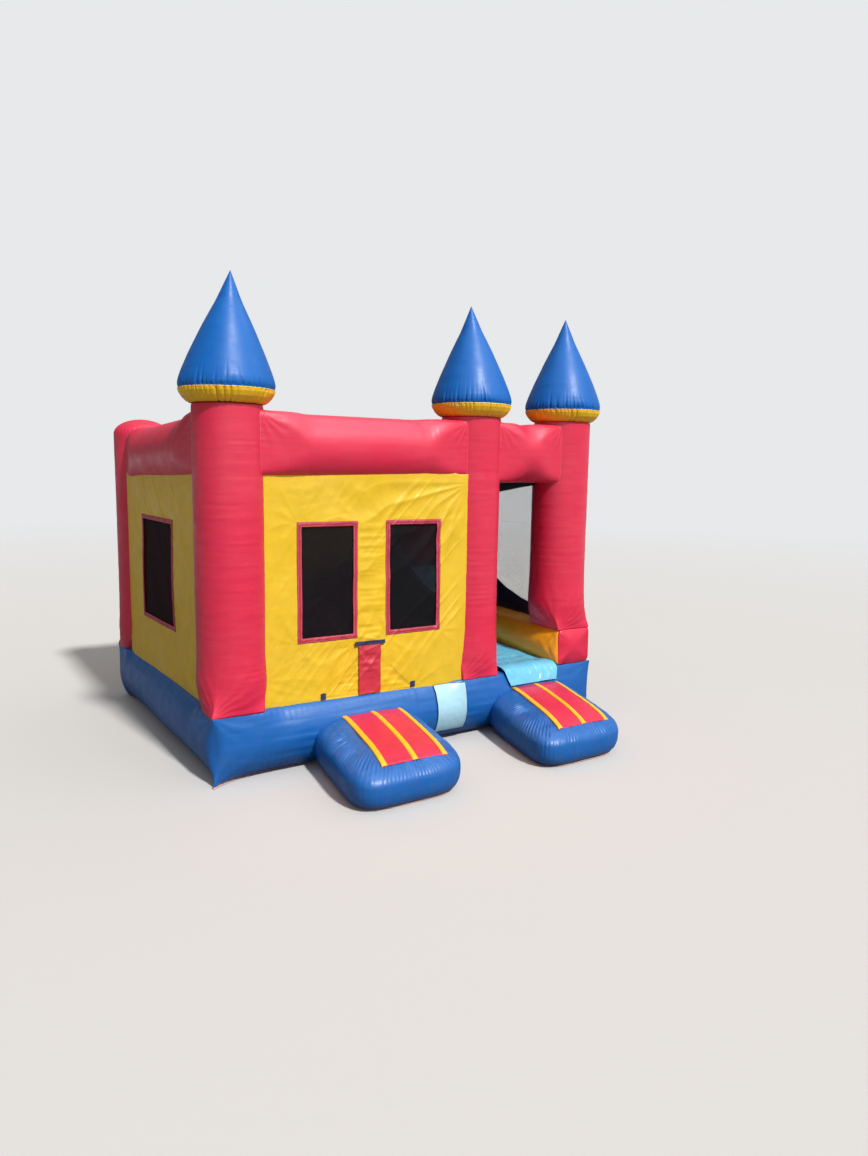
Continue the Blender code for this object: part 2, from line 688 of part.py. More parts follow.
def impeller(centre):
    """A paddle wheel on its shaft: the blades are one outline that steps between the hub and the rim."""
    blades, hub, rim, half_angle = 12, 0.035, 0.145, 0.035
    outline = []
    for i in range(blades):
        at = math.tau * i / blades
        root = half_angle * rim / hub
        for turn, radius in ((-root, hub), (-half_angle, rim), (half_angle, rim), (root, hub)):
            outline.append((radius * math.cos(at + turn), radius * math.sin(at + turn)))
    wheel = plate("blower_wheel", "dark_plastic", outline, (), "YZ", centre, 0.11)
    bpy.context.view_layer.update()
    graph = bpy.context.evaluated_depsgraph_get()
    mesh = bpy.data.meshes.new_from_object(wheel.evaluated_get(graph))
    solid = bpy.data.objects.new("blower_impeller", mesh)
    solid.matrix_world = wheel.matrix_world
    bpy.context.scene.collection.objects.link(solid)
    bpy.data.objects.remove(wheel)
    bm = bmesh.new()
    bm.from_mesh(mesh)
    bmesh.ops.remove_doubles(bm, verts=bm.verts, dist=1e-5)
    bm.to_mesh(mesh)
    bm.free()
    shaft = cylinder(SHAFT_RADIUS, 0.24, centre - Vector((0.08, 0, 0)), "X", steps=12)
    boolean(solid, as_cutter(shaft, "add_shaft"), "UNION")
    finish_part(solid, "blower_impeller", "dark_plastic")


def motor_and_grille(centre):
    length, radius, bore = 0.12, 0.075, SHAFT_RADIUS + 0.004
    middle = centre - Vector((DRUM_WIDTH / 2 + 0.001 + length / 2, 0, 0))
    motor = cylinder(radius, length, middle, "X", ends="NOTHING")
    finish_part(thicken(motor, radius - bore), "blower_motor", "steel")
    bar_pitch, slot_half = 0.03, 0.009
    slots = []
    for i in range(-2, 3):
        reach = math.sqrt(0.09**2 - (i * bar_pitch) ** 2)
        slots.append(rectangle((-reach, i * bar_pitch - slot_half), (reach, i * bar_pitch + slot_half)))
    at = centre + Vector((DRUM_WIDTH / 2 + 0.004, 0, 0))
    plate("blower_grille", "dark_plastic", circle((0, 0), 0.115), slots, "YZ", at, SHEET)


def deflation_zip():
    y = BACK + 0.003
    tape = rectangle((ZIP_X, ZIP_Z - 0.025), (ZIP_X + ZIP_LENGTH, ZIP_Z + 0.025))
    plate("zip_tape", "zip_nylon", tape, (), "XZ", (0, y, 0), NET)
    # The slider's nose and pull tab are one outline, seen from behind.
    half, nose_top, nose_foot = 0.010, 0.014, -0.012
    tab_half, tab_foot = 0.004, -0.045
    tab = [(-half, nose_foot), (-tab_half, tab_foot), (tab_half, tab_foot), (half, nose_foot)]
    outline = [*tab, (half, nose_top), (-half, nose_top)]
    plate("zip_slider", "steel", outline, (), "XZ", (ZIP_X + 0.03, y + 0.006, ZIP_Z), 0.006)


def anchors():
    """A webbing loop sewn to the mattress at each back corner, with a steel D-ring hanging in it."""
    wire, bar_half, drop = 0.004, 0.022, 0.045
    standoff = 0.016
    for which, x in ANCHOR_X.items():
        y = BACK + standoff
        hole = circle((y, ANCHOR_Z), wire + 0.002, 12)
        loop = [
            (BACK + 0.002, ANCHOR_Z + 0.10),
            (BACK + 0.002, ANCHOR_Z - 0.012),
            (y + 0.004, ANCHOR_Z - 0.012),
            (y + 0.012, ANCHOR_Z - 0.004),
            (y + 0.012, ANCHOR_Z + 0.006),
            (BACK + 0.006, ANCHOR_Z + 0.030),
            (BACK + 0.006, ANCHOR_Z + 0.10),
        ]
        plate(f"anchor_loop_{which}", "blue_webbing", loop, (hole,), "YZ", (x, 0, 0), 0.03)
        curve = bpy.data.curves.new(f"anchor_ring_{which}", "CURVE")
        curve.dimensions = "3D"
        curve.bevel_depth = wire
        curve.bevel_resolution = 1
        turns = [math.pi * i / 6 for i in range(7)]
        bow = [(bar_half * math.cos(t), -drop * math.sin(t)) for t in turns]
        spline = curve.splines.new("POLY")
        spline.points.add(len(bow) - 1)
        for point, (u, w) in zip(spline.points, bow):
            point.co = (u, 0, w, 1)
        spline.use_cyclic_u = True
        obj = bpy.data.objects.new(f"anchor_ring_{which}", curve)
        obj.location = (x, y, ANCHOR_Z)
        bpy.context.scene.collection.objects.link(obj)
        finish_part(obj, f"anchor_ring_{which}", "steel")


# ---------------------------------------------------------------- assembly
clear_scene()
PARTS = new_collection("bounce_house")
CUTTERS = new_collection("cutters")
MATERIALS = {name: make_material(name) for name in COLOURS}

column_trims = column_cutters()
floor_mattress()
columns()
turrets()
corner_block()
beams(column_trims)
front_wall()
side_walls()
right_wall()
roof_net(column_trims)
steps()
slide(column_trims)
climb()
inflation_tube()
blower()
deflation_zip()
anchors()
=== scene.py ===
"""Looks of the inflatable bounce house: puffed vinyl, wrinkled sheets, netting, padded steps and the blower.

Metres, +Z up, in the CAD frame. The pieces take their places and main sizes from the CAD nodes' boxes.
"""

import itertools
import math

import bmesh
import bpy
import numpy as np
from mathutils import Matrix, Vector


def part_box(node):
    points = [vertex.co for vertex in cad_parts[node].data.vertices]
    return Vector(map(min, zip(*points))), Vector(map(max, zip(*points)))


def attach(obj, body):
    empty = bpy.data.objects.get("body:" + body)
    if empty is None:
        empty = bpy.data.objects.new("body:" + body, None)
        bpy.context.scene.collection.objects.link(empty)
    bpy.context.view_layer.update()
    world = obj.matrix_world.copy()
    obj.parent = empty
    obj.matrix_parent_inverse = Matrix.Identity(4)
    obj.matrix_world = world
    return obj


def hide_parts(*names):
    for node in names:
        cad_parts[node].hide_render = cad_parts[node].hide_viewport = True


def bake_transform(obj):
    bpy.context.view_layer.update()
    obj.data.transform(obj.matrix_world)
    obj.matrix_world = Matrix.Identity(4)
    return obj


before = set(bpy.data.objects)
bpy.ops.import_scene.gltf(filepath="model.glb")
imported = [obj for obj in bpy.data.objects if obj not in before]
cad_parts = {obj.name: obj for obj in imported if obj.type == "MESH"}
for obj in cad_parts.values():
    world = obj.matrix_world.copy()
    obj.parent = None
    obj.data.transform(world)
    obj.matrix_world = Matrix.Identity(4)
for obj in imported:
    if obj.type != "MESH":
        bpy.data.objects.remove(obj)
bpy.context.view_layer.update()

# ---------------------------------------------------------------- places, from the frame
FLOOR_LOW, FLOOR_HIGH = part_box("floor_mattress")
LEFT, FRONT, _ = FLOOR_LOW
RIGHT, BACK, FLOOR_TOP = FLOOR_HIGH
TUBE_RADIUS = 0.32  # of the columns
BEAM_Z = 3.05
SHEET = 0.003  # thickness of a sewn sheet
BLOWER_X = 0.90
HOUSE = "house"
FRONT_COLUMNS = ("front_left", "middle", "front_right")
BACK_COLUMNS = ("back_left", "back_right")


def middle_of(node):
    low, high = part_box(node)
    return (low + high) / 2


COLUMN_AT = {name: middle_of(f"column_{name}").xy for name in (*FRONT_COLUMNS, *BACK_COLUMNS)}


# ---------------------------------------------------------------- numbers: noise and profiles
def smooth(share):
    share = np.clip(share, 0, 1)
    return share * share * (3 - 2 * share)


def mix(low, high, share):
    return low + (high - low) * share


def spots(*coordinates):
    """Points from their coordinates, each an array or a number."""
    return np.stack(np.broadcast_arrays(*coordinates), -1)


def unit(vectors):
    return vectors / np.maximum(np.linalg.norm(vectors, axis=-1, keepdims=True), 1e-9)


def noise(points, scale, seed=0):
    """Smooth random values from -1 to 1. scale is a feature's size in metres, one number or one per axis."""
    place = points / np.asarray(scale) + 31.7 * (seed + 1)
    cell = np.floor(place).astype(np.int64)
    part = smooth(place - cell)
    total = np.zeros(points.shape[:-1])
    for corner in itertools.product((0, 1), repeat=points.shape[-1]):
        spot = cell + np.array(corner)
        mixed = spot[..., 0] * 73856093 ^ spot[..., 1] * 19349663
        if points.shape[-1] == 3:
            mixed = mixed ^ spot[..., 2] * 83492791
        mixed = (mixed * 1103515245 + 12345) & 0x7FFFFFFF
        mixed = ((mixed >> 13) ^ mixed) * 60493 & 0x7FFFFFFF
        weight = np.prod(np.where(corner, part, 1 - part), axis=-1)
        total += weight * (mixed / 0x3FFFFFFF - 1)
    return total


def seed_of(name):
    return sum(map(ord, name))


def gathers(angle, count, seed):
    """Sharp, uneven puckers along a gathered seam, 0 to 1, around a closed ring, as one row."""
    ring = spots(np.cos(angle), np.sin(angle))
    drift = noise(ring, 0.35, seed) * 2.5
    strength = 0.25 + 0.75 * smooth(0.5 + 0.9 * noise(ring, 0.10, seed + 5))
    return (strength * (1 - np.abs(np.cos(angle * count / 2 + drift)) ** 0.6) ** 1.3 * 1.6)[None, :]


def ring_offsets(angle, half_x, half_y, power):
    """Points of a superellipse: power 2 is round, and a high power is a square with soft corners."""
    along, across = np.cos(angle), np.sin(angle)
    reach = (np.abs(along / half_x) ** power + np.abs(across / half_y) ** power) ** (-1 / power)
    return reach * along, reach * across


def turn_angles(count):
    return np.linspace(0, math.tau, count, endpoint=False)


def smoothed(values, count, mode="edge", **padding):
    """The running mean of an odd count of values. The ends are held, unless another padding is given."""
    return np.convolve(np.pad(values, count // 2, mode, **padding), np.ones(count) / count, "valid")


def flat_grid(low, high, counts):
    """Two coordinates over a rectangle, each as a grid."""
    u, v = (np.linspace(a, b, count) for a, b, count in zip(low, high, counts))
    return np.meshgrid(u, v, indexing="ij")


def edge_distance(u, v, low, high):
    return np.minimum(np.minimum(u - low[0], high[0] - u), np.minimum(v - low[1], high[1] - v))


def puff(points, amount, closed=True):
    """Moves a grid's points outwards by amount."""
    along = np.gradient(points, axis=0)
    across = (np.roll(points, -1, 1) - np.roll(points, 1, 1)) / 2 if closed else np.gradient(points, axis=1)
    return points + unit(np.cross(across, along)) * amount[..., None]


# ---------------------------------------------------------------- objects
def link(obj):
    bpy.context.scene.collection.objects.link(obj)
    return obj


def object_from_bmesh(name, bm, material, smooth_shade=True):
    mesh = bpy.data.meshes.new(name)
    bm.to_mesh(mesh)
    bm.free()
    mesh.polygons.foreach_set("use_smooth", [smooth_shade] * len(mesh.polygons))
    mesh.materials.append(material)
    return link(bpy.data.objects.new(name, mesh))


def object_from(name, points, faces, material, smooth_shade=True):
    mesh = bpy.data.meshes.new(name)
    mesh.from_pydata([tuple(p) for p in points], [], faces)
    bm = bmesh.new()
    bm.from_mesh(mesh)
    bpy.data.meshes.remove(mesh)
    bmesh.ops.recalc_face_normals(bm, faces=bm.faces)
    return object_from_bmesh(name, bm, material, smooth_shade)


def skin(name, points, material, closed=True, cap_first=False, cap_last=False, layout=None):
    """A mesh from a grid of points: rows along the piece, columns around it.

    layout gives its texture coordinates, one number for each row and one for each column.
    """
    rows, columns, _ = points.shape
    faces = []
    for i in range(rows - 1):
        for j in range(columns if closed else columns - 1):
            k = (j + 1) % columns
            faces.append((i * columns + j, i * columns + k, (i + 1) * columns + k, (i + 1) * columns + j))
    flat = list(points.reshape(-1, 3))
    for wanted, row in ((cap_first, 0), (cap_last, rows - 1)):
        if wanted:
            flat.append(points[row].mean(axis=0))
            centre = len(flat) - 1
            start = row * columns
            faces += [(start + j, start + (j + 1) % columns, centre) for j in range(columns)]
    obj = object_from(name, flat, faces, material)
    if layout is not None:
        across, along = layout
        coords = obj.data.uv_layers.new(name="cloth").data
        for loop, coord in zip(obj.data.loops, coords):
            row, column_number = divmod(loop.vertex_index, columns)
            coord.uv = (along[column_number], across[row])
    return obj


def solid(obj, thickness=SHEET, offset=0.0):
    made = obj.modifiers.new("Thickness", "SOLIDIFY")
    made.thickness = thickness
    made.offset = offset
    return obj


def apply_modifiers(obj):
    bpy.context.view_layer.update()
    graph = bpy.context.evaluated_depsgraph_get()
    mesh = bpy.data.meshes.new_from_object(obj.evaluated_get(graph))
    obj.modifiers.clear()
    obj.data = mesh


def dress(obj, *nodes, body=HOUSE, slot=None):
    """The piece stands for these CAD nodes and hides them. It rides on body, unless that is None; slot is
    not used.
    """
    if body:
        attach(obj, body)
    if nodes:
        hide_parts(*nodes)
    return obj


def cloth(name, points, material, *nodes, thickness=SHEET, offset=0.0):
    """A sewn sheet from an open grid of points."""
    return dress(solid(skin(name, points, material, closed=False), thickness, offset), *nodes)


def chamber(name, points, material, *nodes):
    """An inflated piece from rings of points, closed at both ends."""
    return dress(skin(name, points, material, cap_first=True, cap_last=True), *nodes)


# ---------------------------------------------------------------- materials
def plug(tree, node, values):
    """Links or sets each of the node's inputs."""
    for key, value in values.items():
        if isinstance(value, bpy.types.NodeSocket):
            tree.links.new(value, node.inputs[key])
        else:
            node.inputs[key].default_value = value


def add(tree, kind, inputs=None, **settings):
    node = tree.nodes.new(kind)
    for key, value in settings.items():
        setattr(node, key, value)
    plug(tree, node, inputs or {})
    return node


def arith(tree, operation, *values):
    return add(tree, "ShaderNodeMath", dict(enumerate(values)), operation=operation).outputs[0]


def blank_material(name):
    made = bpy.data.materials.new(name)
    made.use_nodes = True
    tree = made.node_tree
    position = add(tree, "ShaderNodeTexCoord").outputs["Object"]
    return made, tree, tree.nodes["Principled BSDF"], position


def stretched_noise(tree, position, per_metre, detail=3.0, seed=0.0):
    """Noise with this many features a metre, one number or one for each axis."""
    scale = per_metre if isinstance(per_metre, tuple) else (per_metre,) * 3
    placed = add(tree, "ShaderNodeMapping", {"Vector": position, "Scale": scale, "Location": (seed, 0, 0)})
    texture = {"Vector": placed.outputs[0], "Scale": 1.0, "Detail": detail}
    return add(tree, "ShaderNodeTexNoise", texture).outputs["Fac"]


def remap(tree, value, low, high, to_low, to_high):
    settings = {"Value": value, "From Min": low, "From Max": high, "To Min": to_low, "To Max": to_high}
    return add(tree, "ShaderNodeMapRange", settings).outputs["Result"]


def blend_colour(tree, share, first, second):
    return add(tree, "ShaderNodeMix", {0: share, 6: first, 7: second}, data_type="RGBA").outputs[2]


def bump(tree, height, distance, strength, under=None):
    settings = {"Height": height, "Distance": distance, "Strength": strength}
    if under is not None:
        settings["Normal"] = under
    return add(tree, "ShaderNodeBump", settings).outputs[0]


def opaque(colour, shade=1.0):
    return (*(c * shade for c in colour), 1.0)


def vinyl(name, colour, roughness=0.38, ripple=(4, 4, 26), ripple_depth=0.0015, fade=0.12, sheen=0.55):
    """PVC-coated fabric: soft gloss, faint sun fade and scuffs, fine ripples with painted shade in their
    creases, and the cloth's grain.
    """
    made, tree, shader, position = blank_material(name)
    pale = opaque([mix(c, 1.0, 0.10) for c in colour])
    patches = remap(tree, stretched_noise(tree, position, (1.3, 1.3, 1.1), 4.0), 0.35, 0.7, 0.0, fade * 4)
    tone = blend_colour(tree, patches, opaque(colour), pale)
    creases = stretched_noise(tree, position, ripple, 3.0, 3.0)
    # Painted shade: the colour darkens to 78% in the ripples' creases.
    tone = blend_colour(tree, remap(tree, creases, 0.30, 0.62, 0.35, 0.0), tone, opaque(colour, 0.78))
    height = add(tree, "ShaderNodeSeparateXYZ", {"Vector": position}).outputs["Z"]
    scuffs = remap(tree, stretched_noise(tree, position, 9, 6.0, 9.0), 0.52, 0.72, 0.0, 0.5)
    near_ground = remap(tree, height, 0.02, 0.30, 0.5, 0.06)
    tone = blend_colour(tree, arith(tree, "MULTIPLY", scuffs, near_ground), tone, (0.13, 0.12, 0.11, 1.0))
    uneven = stretched_noise(tree, position, 6, 5.0, 5.0)
    gloss = remap(tree, uneven, 0.3, 0.7, roughness - 0.06, roughness + 0.10)
    grain = bump(tree, stretched_noise(tree, position, 420, 1.0), 0.00035, 0.5)
    normal = bump(tree, creases, ripple_depth * 4, 0.55, grain)
    plug(tree, shader, {"Base Color": tone, "Roughness": gloss})
    plug(tree, shader, {"Specular IOR Level": sheen, "Normal": normal})
    return made


def netting(name, pitch, thread_share):
    """Knitted netting: diagonal threads with clear holes between them."""
    made, tree, shader, position = blank_material(name)
    split = add(tree, "ShaderNodeSeparateXYZ", {"Vector": position})
    across = arith(tree, "ADD", split.outputs["X"], split.outputs["Y"])
    threads = []
    for sign in ("ADD", "SUBTRACT"):
        line = arith(tree, sign, across, split.outputs["Z"])
        part = arith(tree, "FRACT", arith(tree, "MULTIPLY", line, 1 / pitch))
        threads.append(arith(tree, "LESS_THAN", part, thread_share))
    thread = arith(tree, "MAXIMUM", *threads)
    normal = bump(tree, stretched_noise(tree, position, 900, 2.0), 0.0005, 0.6)
    plug(tree, shader, {"Base Color": opaque((0.004, 0.004, 0.006)), "Roughness": 0.8})
    plug(tree, shader, {"Specular IOR Level": 0.15, "Normal": normal})
    hole = add(tree, "ShaderNodeBsdfTransparent")
    both = add(tree, "ShaderNodeMixShader", {0: thread, 1: hole.outputs[0], 2: shader.outputs[0]})
    plug(tree, tree.nodes["Material Output"], {"Surface": both.outputs[0]})
    return made


def webbing(name, colour):
    """Woven strap: fine ribs across it and a slight fuzz."""
    made, tree, shader, position = blank_material(name)
    placed = add(tree, "ShaderNodeMapping", {"Vector": position, "Scale": (450, 450, 450)})
    weave = add(tree, "ShaderNodeTexWave", {"Vector": placed.outputs[0], "Scale": 1.0, "Distortion": 1.5})
    weave = weave.outputs["Fac"]
    tone = blend_colour(tree, weave, opaque(colour, 0.7), opaque(colour, 1.3))
    plug(tree, shader, {"Base Color": tone, "Roughness": 0.68, "Normal": bump(tree, weave, 0.0006, 0.7)})
    return made


def binding(name, colour):
    """Sewn binding with two rows of lighter stitches, laid out along its texture coordinates."""
    stitch_length, stitched_share, row_from_middle, half_row = 0.011, 0.68, 0.30, 0.045
    made, tree, shader, position = blank_material(name)
    cloth = add(tree, "ShaderNodeUVMap", uv_map="cloth")
    split = add(tree, "ShaderNodeSeparateXYZ", {"Vector": cloth.outputs[0]})
    run = arith(tree, "FRACT", arith(tree, "MULTIPLY", split.outputs["X"], 1 / stitch_length))
    dash = arith(tree, "LESS_THAN", run, stitched_share)
    from_middle = arith(tree, "ABSOLUTE", arith(tree, "SUBTRACT", split.outputs["Y"], 0.5))
    stitch = arith(tree, "MULTIPLY", dash, arith(tree, "COMPARE", from_middle, row_from_middle, half_row))
    cloth_tone = remap(tree, stretched_noise(tree, position, 60, 3.0), 0.3, 0.7, 0.0, 1.0)
    tone = blend_colour(tree, cloth_tone, opaque(colour, 0.75), opaque(colour, 1.2))
    tone = blend_colour(tree, stitch, tone, (0.62, 0.20, 0.24, 1))
    weave = bump(tree, stretched_noise(tree, position, 500, 1.0), 0.0003, 0.5)
    raised = bump(tree, stitch, 0.0010, 0.7, weave)
    plug(tree, shader, {"Base Color": tone, "Roughness": 0.52, "Normal": raised})
    return made


def moulded(name, colour, roughness=0.5, metallic=0.0, grain=260):
    """Moulded plastic or plain metal with a fine texture and handling marks."""
    made, tree, shader, position = blank_material(name)
    marks = stretched_noise(tree, position, 14, 6.0)
    tone = blend_colour(tree, remap(tree, marks, 0.45, 0.75, 0.0, 0.5), opaque(colour), opaque(colour, 0.62))
    gloss = remap(tree, marks, 0.3, 0.7, roughness - 0.08, roughness + 0.12)
    normal = bump(tree, stretched_noise(tree, position, grain, 2.0), 0.0004, 0.5)
    plug(tree, shader, {"Base Color": tone, "Roughness": gloss, "Metallic": metallic, "Normal": normal})
    return made


red_vinyl = vinyl("red_vinyl", (0.68, 0.011, 0.058), 0.42, (4, 4, 22), 0.0008, 0.04)
red_sheet = vinyl("red_sheet", (0.52, 0.014, 0.040), 0.60, 9, 0.002, 0.05)
blue_vinyl = vinyl("blue_vinyl", (0.002, 0.112, 0.42), 0.40, (5, 5, 22), 0.0012, 0.02)
spire_vinyl = vinyl("spire_vinyl", (0.0, 0.112, 0.44), 0.40, (5, 5, 22), 0.0012, 0.0, 0.30)
# Painted shade: the lane's inner sheets are blue vinyl darkened to navy for the shade inside the house.
navy_vinyl = vinyl("navy_vinyl", (0.006, 0.012, 0.075), 0.45, (4, 4, 12), 0.002, 0.02)
yellow_vinyl = vinyl("yellow_vinyl", (0.86, 0.51, 0.003), 0.48, (8, 8, 18), 0.0012, 0.05)
# Painted shade: the bolster's yellow is shifted to orange-brown, the look of yellow in shade under the red
# floor's bounce light.
bolster_yellow_painted_shade = vinyl("bolster_yellow_painted_shade", (1.0, 0.40, 0.002), 0.45, (8, 8, 18), 0.0012, 0.04)
yellow_sheet = vinyl("yellow_sheet", (0.76, 0.49, 0.004), 0.48, 7, 0.0015, 0.05)
sky_vinyl = vinyl("sky_vinyl", (0.12, 0.50, 0.74), 0.26, (6, 9, 6), 0.002)
patch_vinyl = vinyl("patch_vinyl", (0.38, 0.66, 0.80), 0.36, 4, 0.0005)
seam_vinyl = vinyl("seam_vinyl", (0.62, 0.36, 0.30), 0.6, 30, 0.0008)
pink_seam = vinyl("pink_seam", (0.66, 0.09, 0.13), 0.5)
black_net = netting("black_net", 0.009, 0.56)
shade_net = netting("shade_net", 0.005, 0.90)
side_net = netting("side_net", 0.014, 0.26)
blue_webbing = webbing("blue_webbing", (0.018, 0.022, 0.085))
crimson_webbing = binding("crimson_webbing", (0.44, 0.020, 0.055))
zip_tape = webbing("zip_tape", (0.02, 0.02, 0.022))
orange_plastic = moulded("orange_plastic", (0.78, 0.27, 0.015), 0.45)
red_plastic = moulded("red_plastic", (0.55, 0.012, 0.010), 0.38)
dark_plastic = moulded("dark_plastic", (0.022, 0.022, 0.024), 0.5)
steel = moulded("steel", (0.55, 0.55, 0.57), 0.32, 1.0, 500)


# ---------------------------------------------------------------- columns, beams and turrets
def fan_folds(points, corners, reach, folds, seed):
    """Creases in a grid's surface that run out of sharp sewn corners."""
    total = np.zeros(points.shape[:-1])
    for number, corner in enumerate(corners):
        away = points - np.asarray(corner)
        side = np.sign(away[..., 0] + away[..., 1] * 0.3) * np.hypot(away[..., 0], away[..., 1])
        distance = np.hypot(side, away[..., 2]) + 1e-6
        angle = np.arctan2(away[..., 2], side)
        drift = 1.5 * noise(points, 0.15, seed + number)
        total += distance / reach * np.exp(1 - distance / reach) * np.sin(angle * folds + drift + number)
    return total


def square_offsets(angle, sharp_side, power):
    """Points of a square of half-width 1: sharp corners on one side in y, rounded ones on the other."""
    along, across = np.cos(angle), np.sin(angle)
    sharp = 1 / np.maximum(np.abs(along), np.abs(across))
    round_corner = (np.abs(along) ** power + np.abs(across) ** power) ** (-1 / power)
    reach = np.where(across * sharp_side >= 0, sharp, round_corner)
    return along * reach, across * reach


def foot_corners(which):
    """Low and high corners, in plan, of the square foot that a column is sewn to."""
    if which == "front_right":
        low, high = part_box("corner_block")
        return low.xy, Vector((high.x - 0.010, low.y + 0.52))
    width, depth = 0.50, 0.41
    y = FRONT + 0.004 if which in FRONT_COLUMNS else BACK - depth
    x = RIGHT - width if which == "back_right" else LEFT
    if which == "middle":
        x, width = COLUMN_AT["middle"].x - 0.235, 0.46
    return Vector((x, y)), Vector((x + width, y + depth))


def column(which, foot_z, top_z, domed=False):
    """A round tube that turns square over its last stretch, where it is sewn to a square corner."""
    squaring, dome = 0.34, 0.18
    angle = turn_angles(176)
    seed = seed_of(which)
    centre = COLUMN_AT[which]
    foot_low, foot_high = foot_corners(which)
    middle, half = (foot_low + foot_high) / 2, (foot_high - foot_low) / 2
    square_x, square_y = square_offsets(angle, 1 if domed else -1, 14.0 if which == "front_right" else 2.6)
    heights = foot_z + (top_z - foot_z - (dome if domed else 0)) * np.linspace(0, 1, 260)
    share = np.clip((foot_z + squaring - heights) / squaring, 0, 1) ** 1.9
    fuller = 0.012 * np.exp(-(((heights - foot_z - 0.22) / 0.22) ** 2))
    tuck = np.ones_like(heights) if domed else 1 - 0.03 * np.exp(-(top_z - heights) / 0.012)
    rows = []
    for z, part, pinch, more in zip(heights, share, tuck, fuller):
        radius = TUBE_RADIUS * pinch + more
        x = mix(centre.x + radius * np.cos(angle), middle.x + half.x * square_x, part)
        y = mix(centre.y + radius * np.sin(angle), middle.y + half.y * square_y, part)
        rows.append(spots(x, y, z))
    if domed:
        for turn in np.linspace(0, math.pi / 2, 22)[1:-1]:
            radius = TUBE_RADIUS * math.cos(turn)
            z = top_z - dome * (1 - math.sin(turn))
            rows.append(spots(radius * np.cos(angle) + centre.x, radius * np.sin(angle) + centre.y, z))
    points = np.array(rows)
    height = points[..., 2]
    above = height - foot_z
    corner = (foot_low.x, foot_high.y if domed else foot_low.y, foot_z)
    creases = 0.8 * fan_folds(points, [corner], 0.16, 23, seed) * np.minimum(above / 0.03, 1)
    come_and_go = 0.3 + smooth(0.45 + noise(points, 0.4, seed + 2))
    ripples = 0.0013 * noise(points, (0.45, 0.45, 0.028), seed) * come_and_go
    swell = 0.005 * noise(points, (0.9, 0.9, 0.6), seed) * np.minimum(above / 0.2, 1)
    sag = -0.0025 * np.abs(noise(points, (0.6, 0.6, 0.16), seed + 9)) ** 2
    tucks = 0.0
    if domed:
        off_dome = np.abs(height - (top_z - dome))
        tucks = 0.012 * gathers(angle, 42, seed) * np.exp(-off_dome / 0.05) * (height > top_z - dome)
    points = puff(points, ripples + swell + sag + 0.0028 * creases - tucks)
    chamber(f"column_{which}_skin", points, red_vinyl, f"column_{which}")


def columns():
    top, domed_top = (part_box(f"column_{which}")[1].z for which in ("front_left", "back_left"))
    for which in FRONT_COLUMNS:
        column(which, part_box("corner_block")[1].z if which == "front_right" else FLOOR_TOP, top)
    for which in BACK_COLUMNS:
        column(which, FLOOR_TOP, domed_top, True)


def beam_section(angle, depth, up, raised, power, over_sheet):
    """Across a beam: (out, up). Over a wall sheet it crosses the sheet's plane at one level all along."""
    sheet_at, sheet_drop, bare_drop = 0.212, 0.240, 0.308
    down = bare_drop + raised
    if over_sheet:
        down = (sheet_drop + raised) / (1 - (sheet_at / depth) ** power) ** (1 / power)
    u, v = ring_offsets(angle, 1, 1, power)
    return u * depth, v * np.where(v > 0, up, down)


def seam_ring(points, centre, radius):
    """Where a beam's skin, given as rows running away from a column, leaves the column's round side."""
    distance = np.hypot(points[..., 0] - centre.x, points[..., 1] - centre.y)
    lines = zip(distance.T, points.transpose(1, 2, 0))
    return np.array([[np.interp(radius, away, values) for values in line] for away, line in lines])


def cord(name, ring, radius, material, *nodes, closed=True, sides=6, body=HOUSE):
    """A thin round cord along a line of points, for a piped seam or a wire."""
    tangent = unit(np.roll(ring, -1, 0) - np.roll(ring, 1, 0) if closed else np.gradient(ring, axis=0))
    first = unit(np.cross(tangent, (0.31, 0.52, 0.79)))
    second = np.cross(tangent, first)
    turns = turn_angles(sides)
    grid = np.array([ring + radius * (math.cos(t) * first + math.sin(t) * second) for t in turns])
    if closed:
        grid = np.concatenate([grid, grid[:1]]).transpose(1, 0, 2)
        obj = skin(name, np.concatenate([grid, grid[:1]]), material, closed=False)
    else:
        obj = skin(name, grid.transpose(1, 0, 2), material, cap_first=True, cap_last=True)
    return dress(obj, *nodes, body=body)


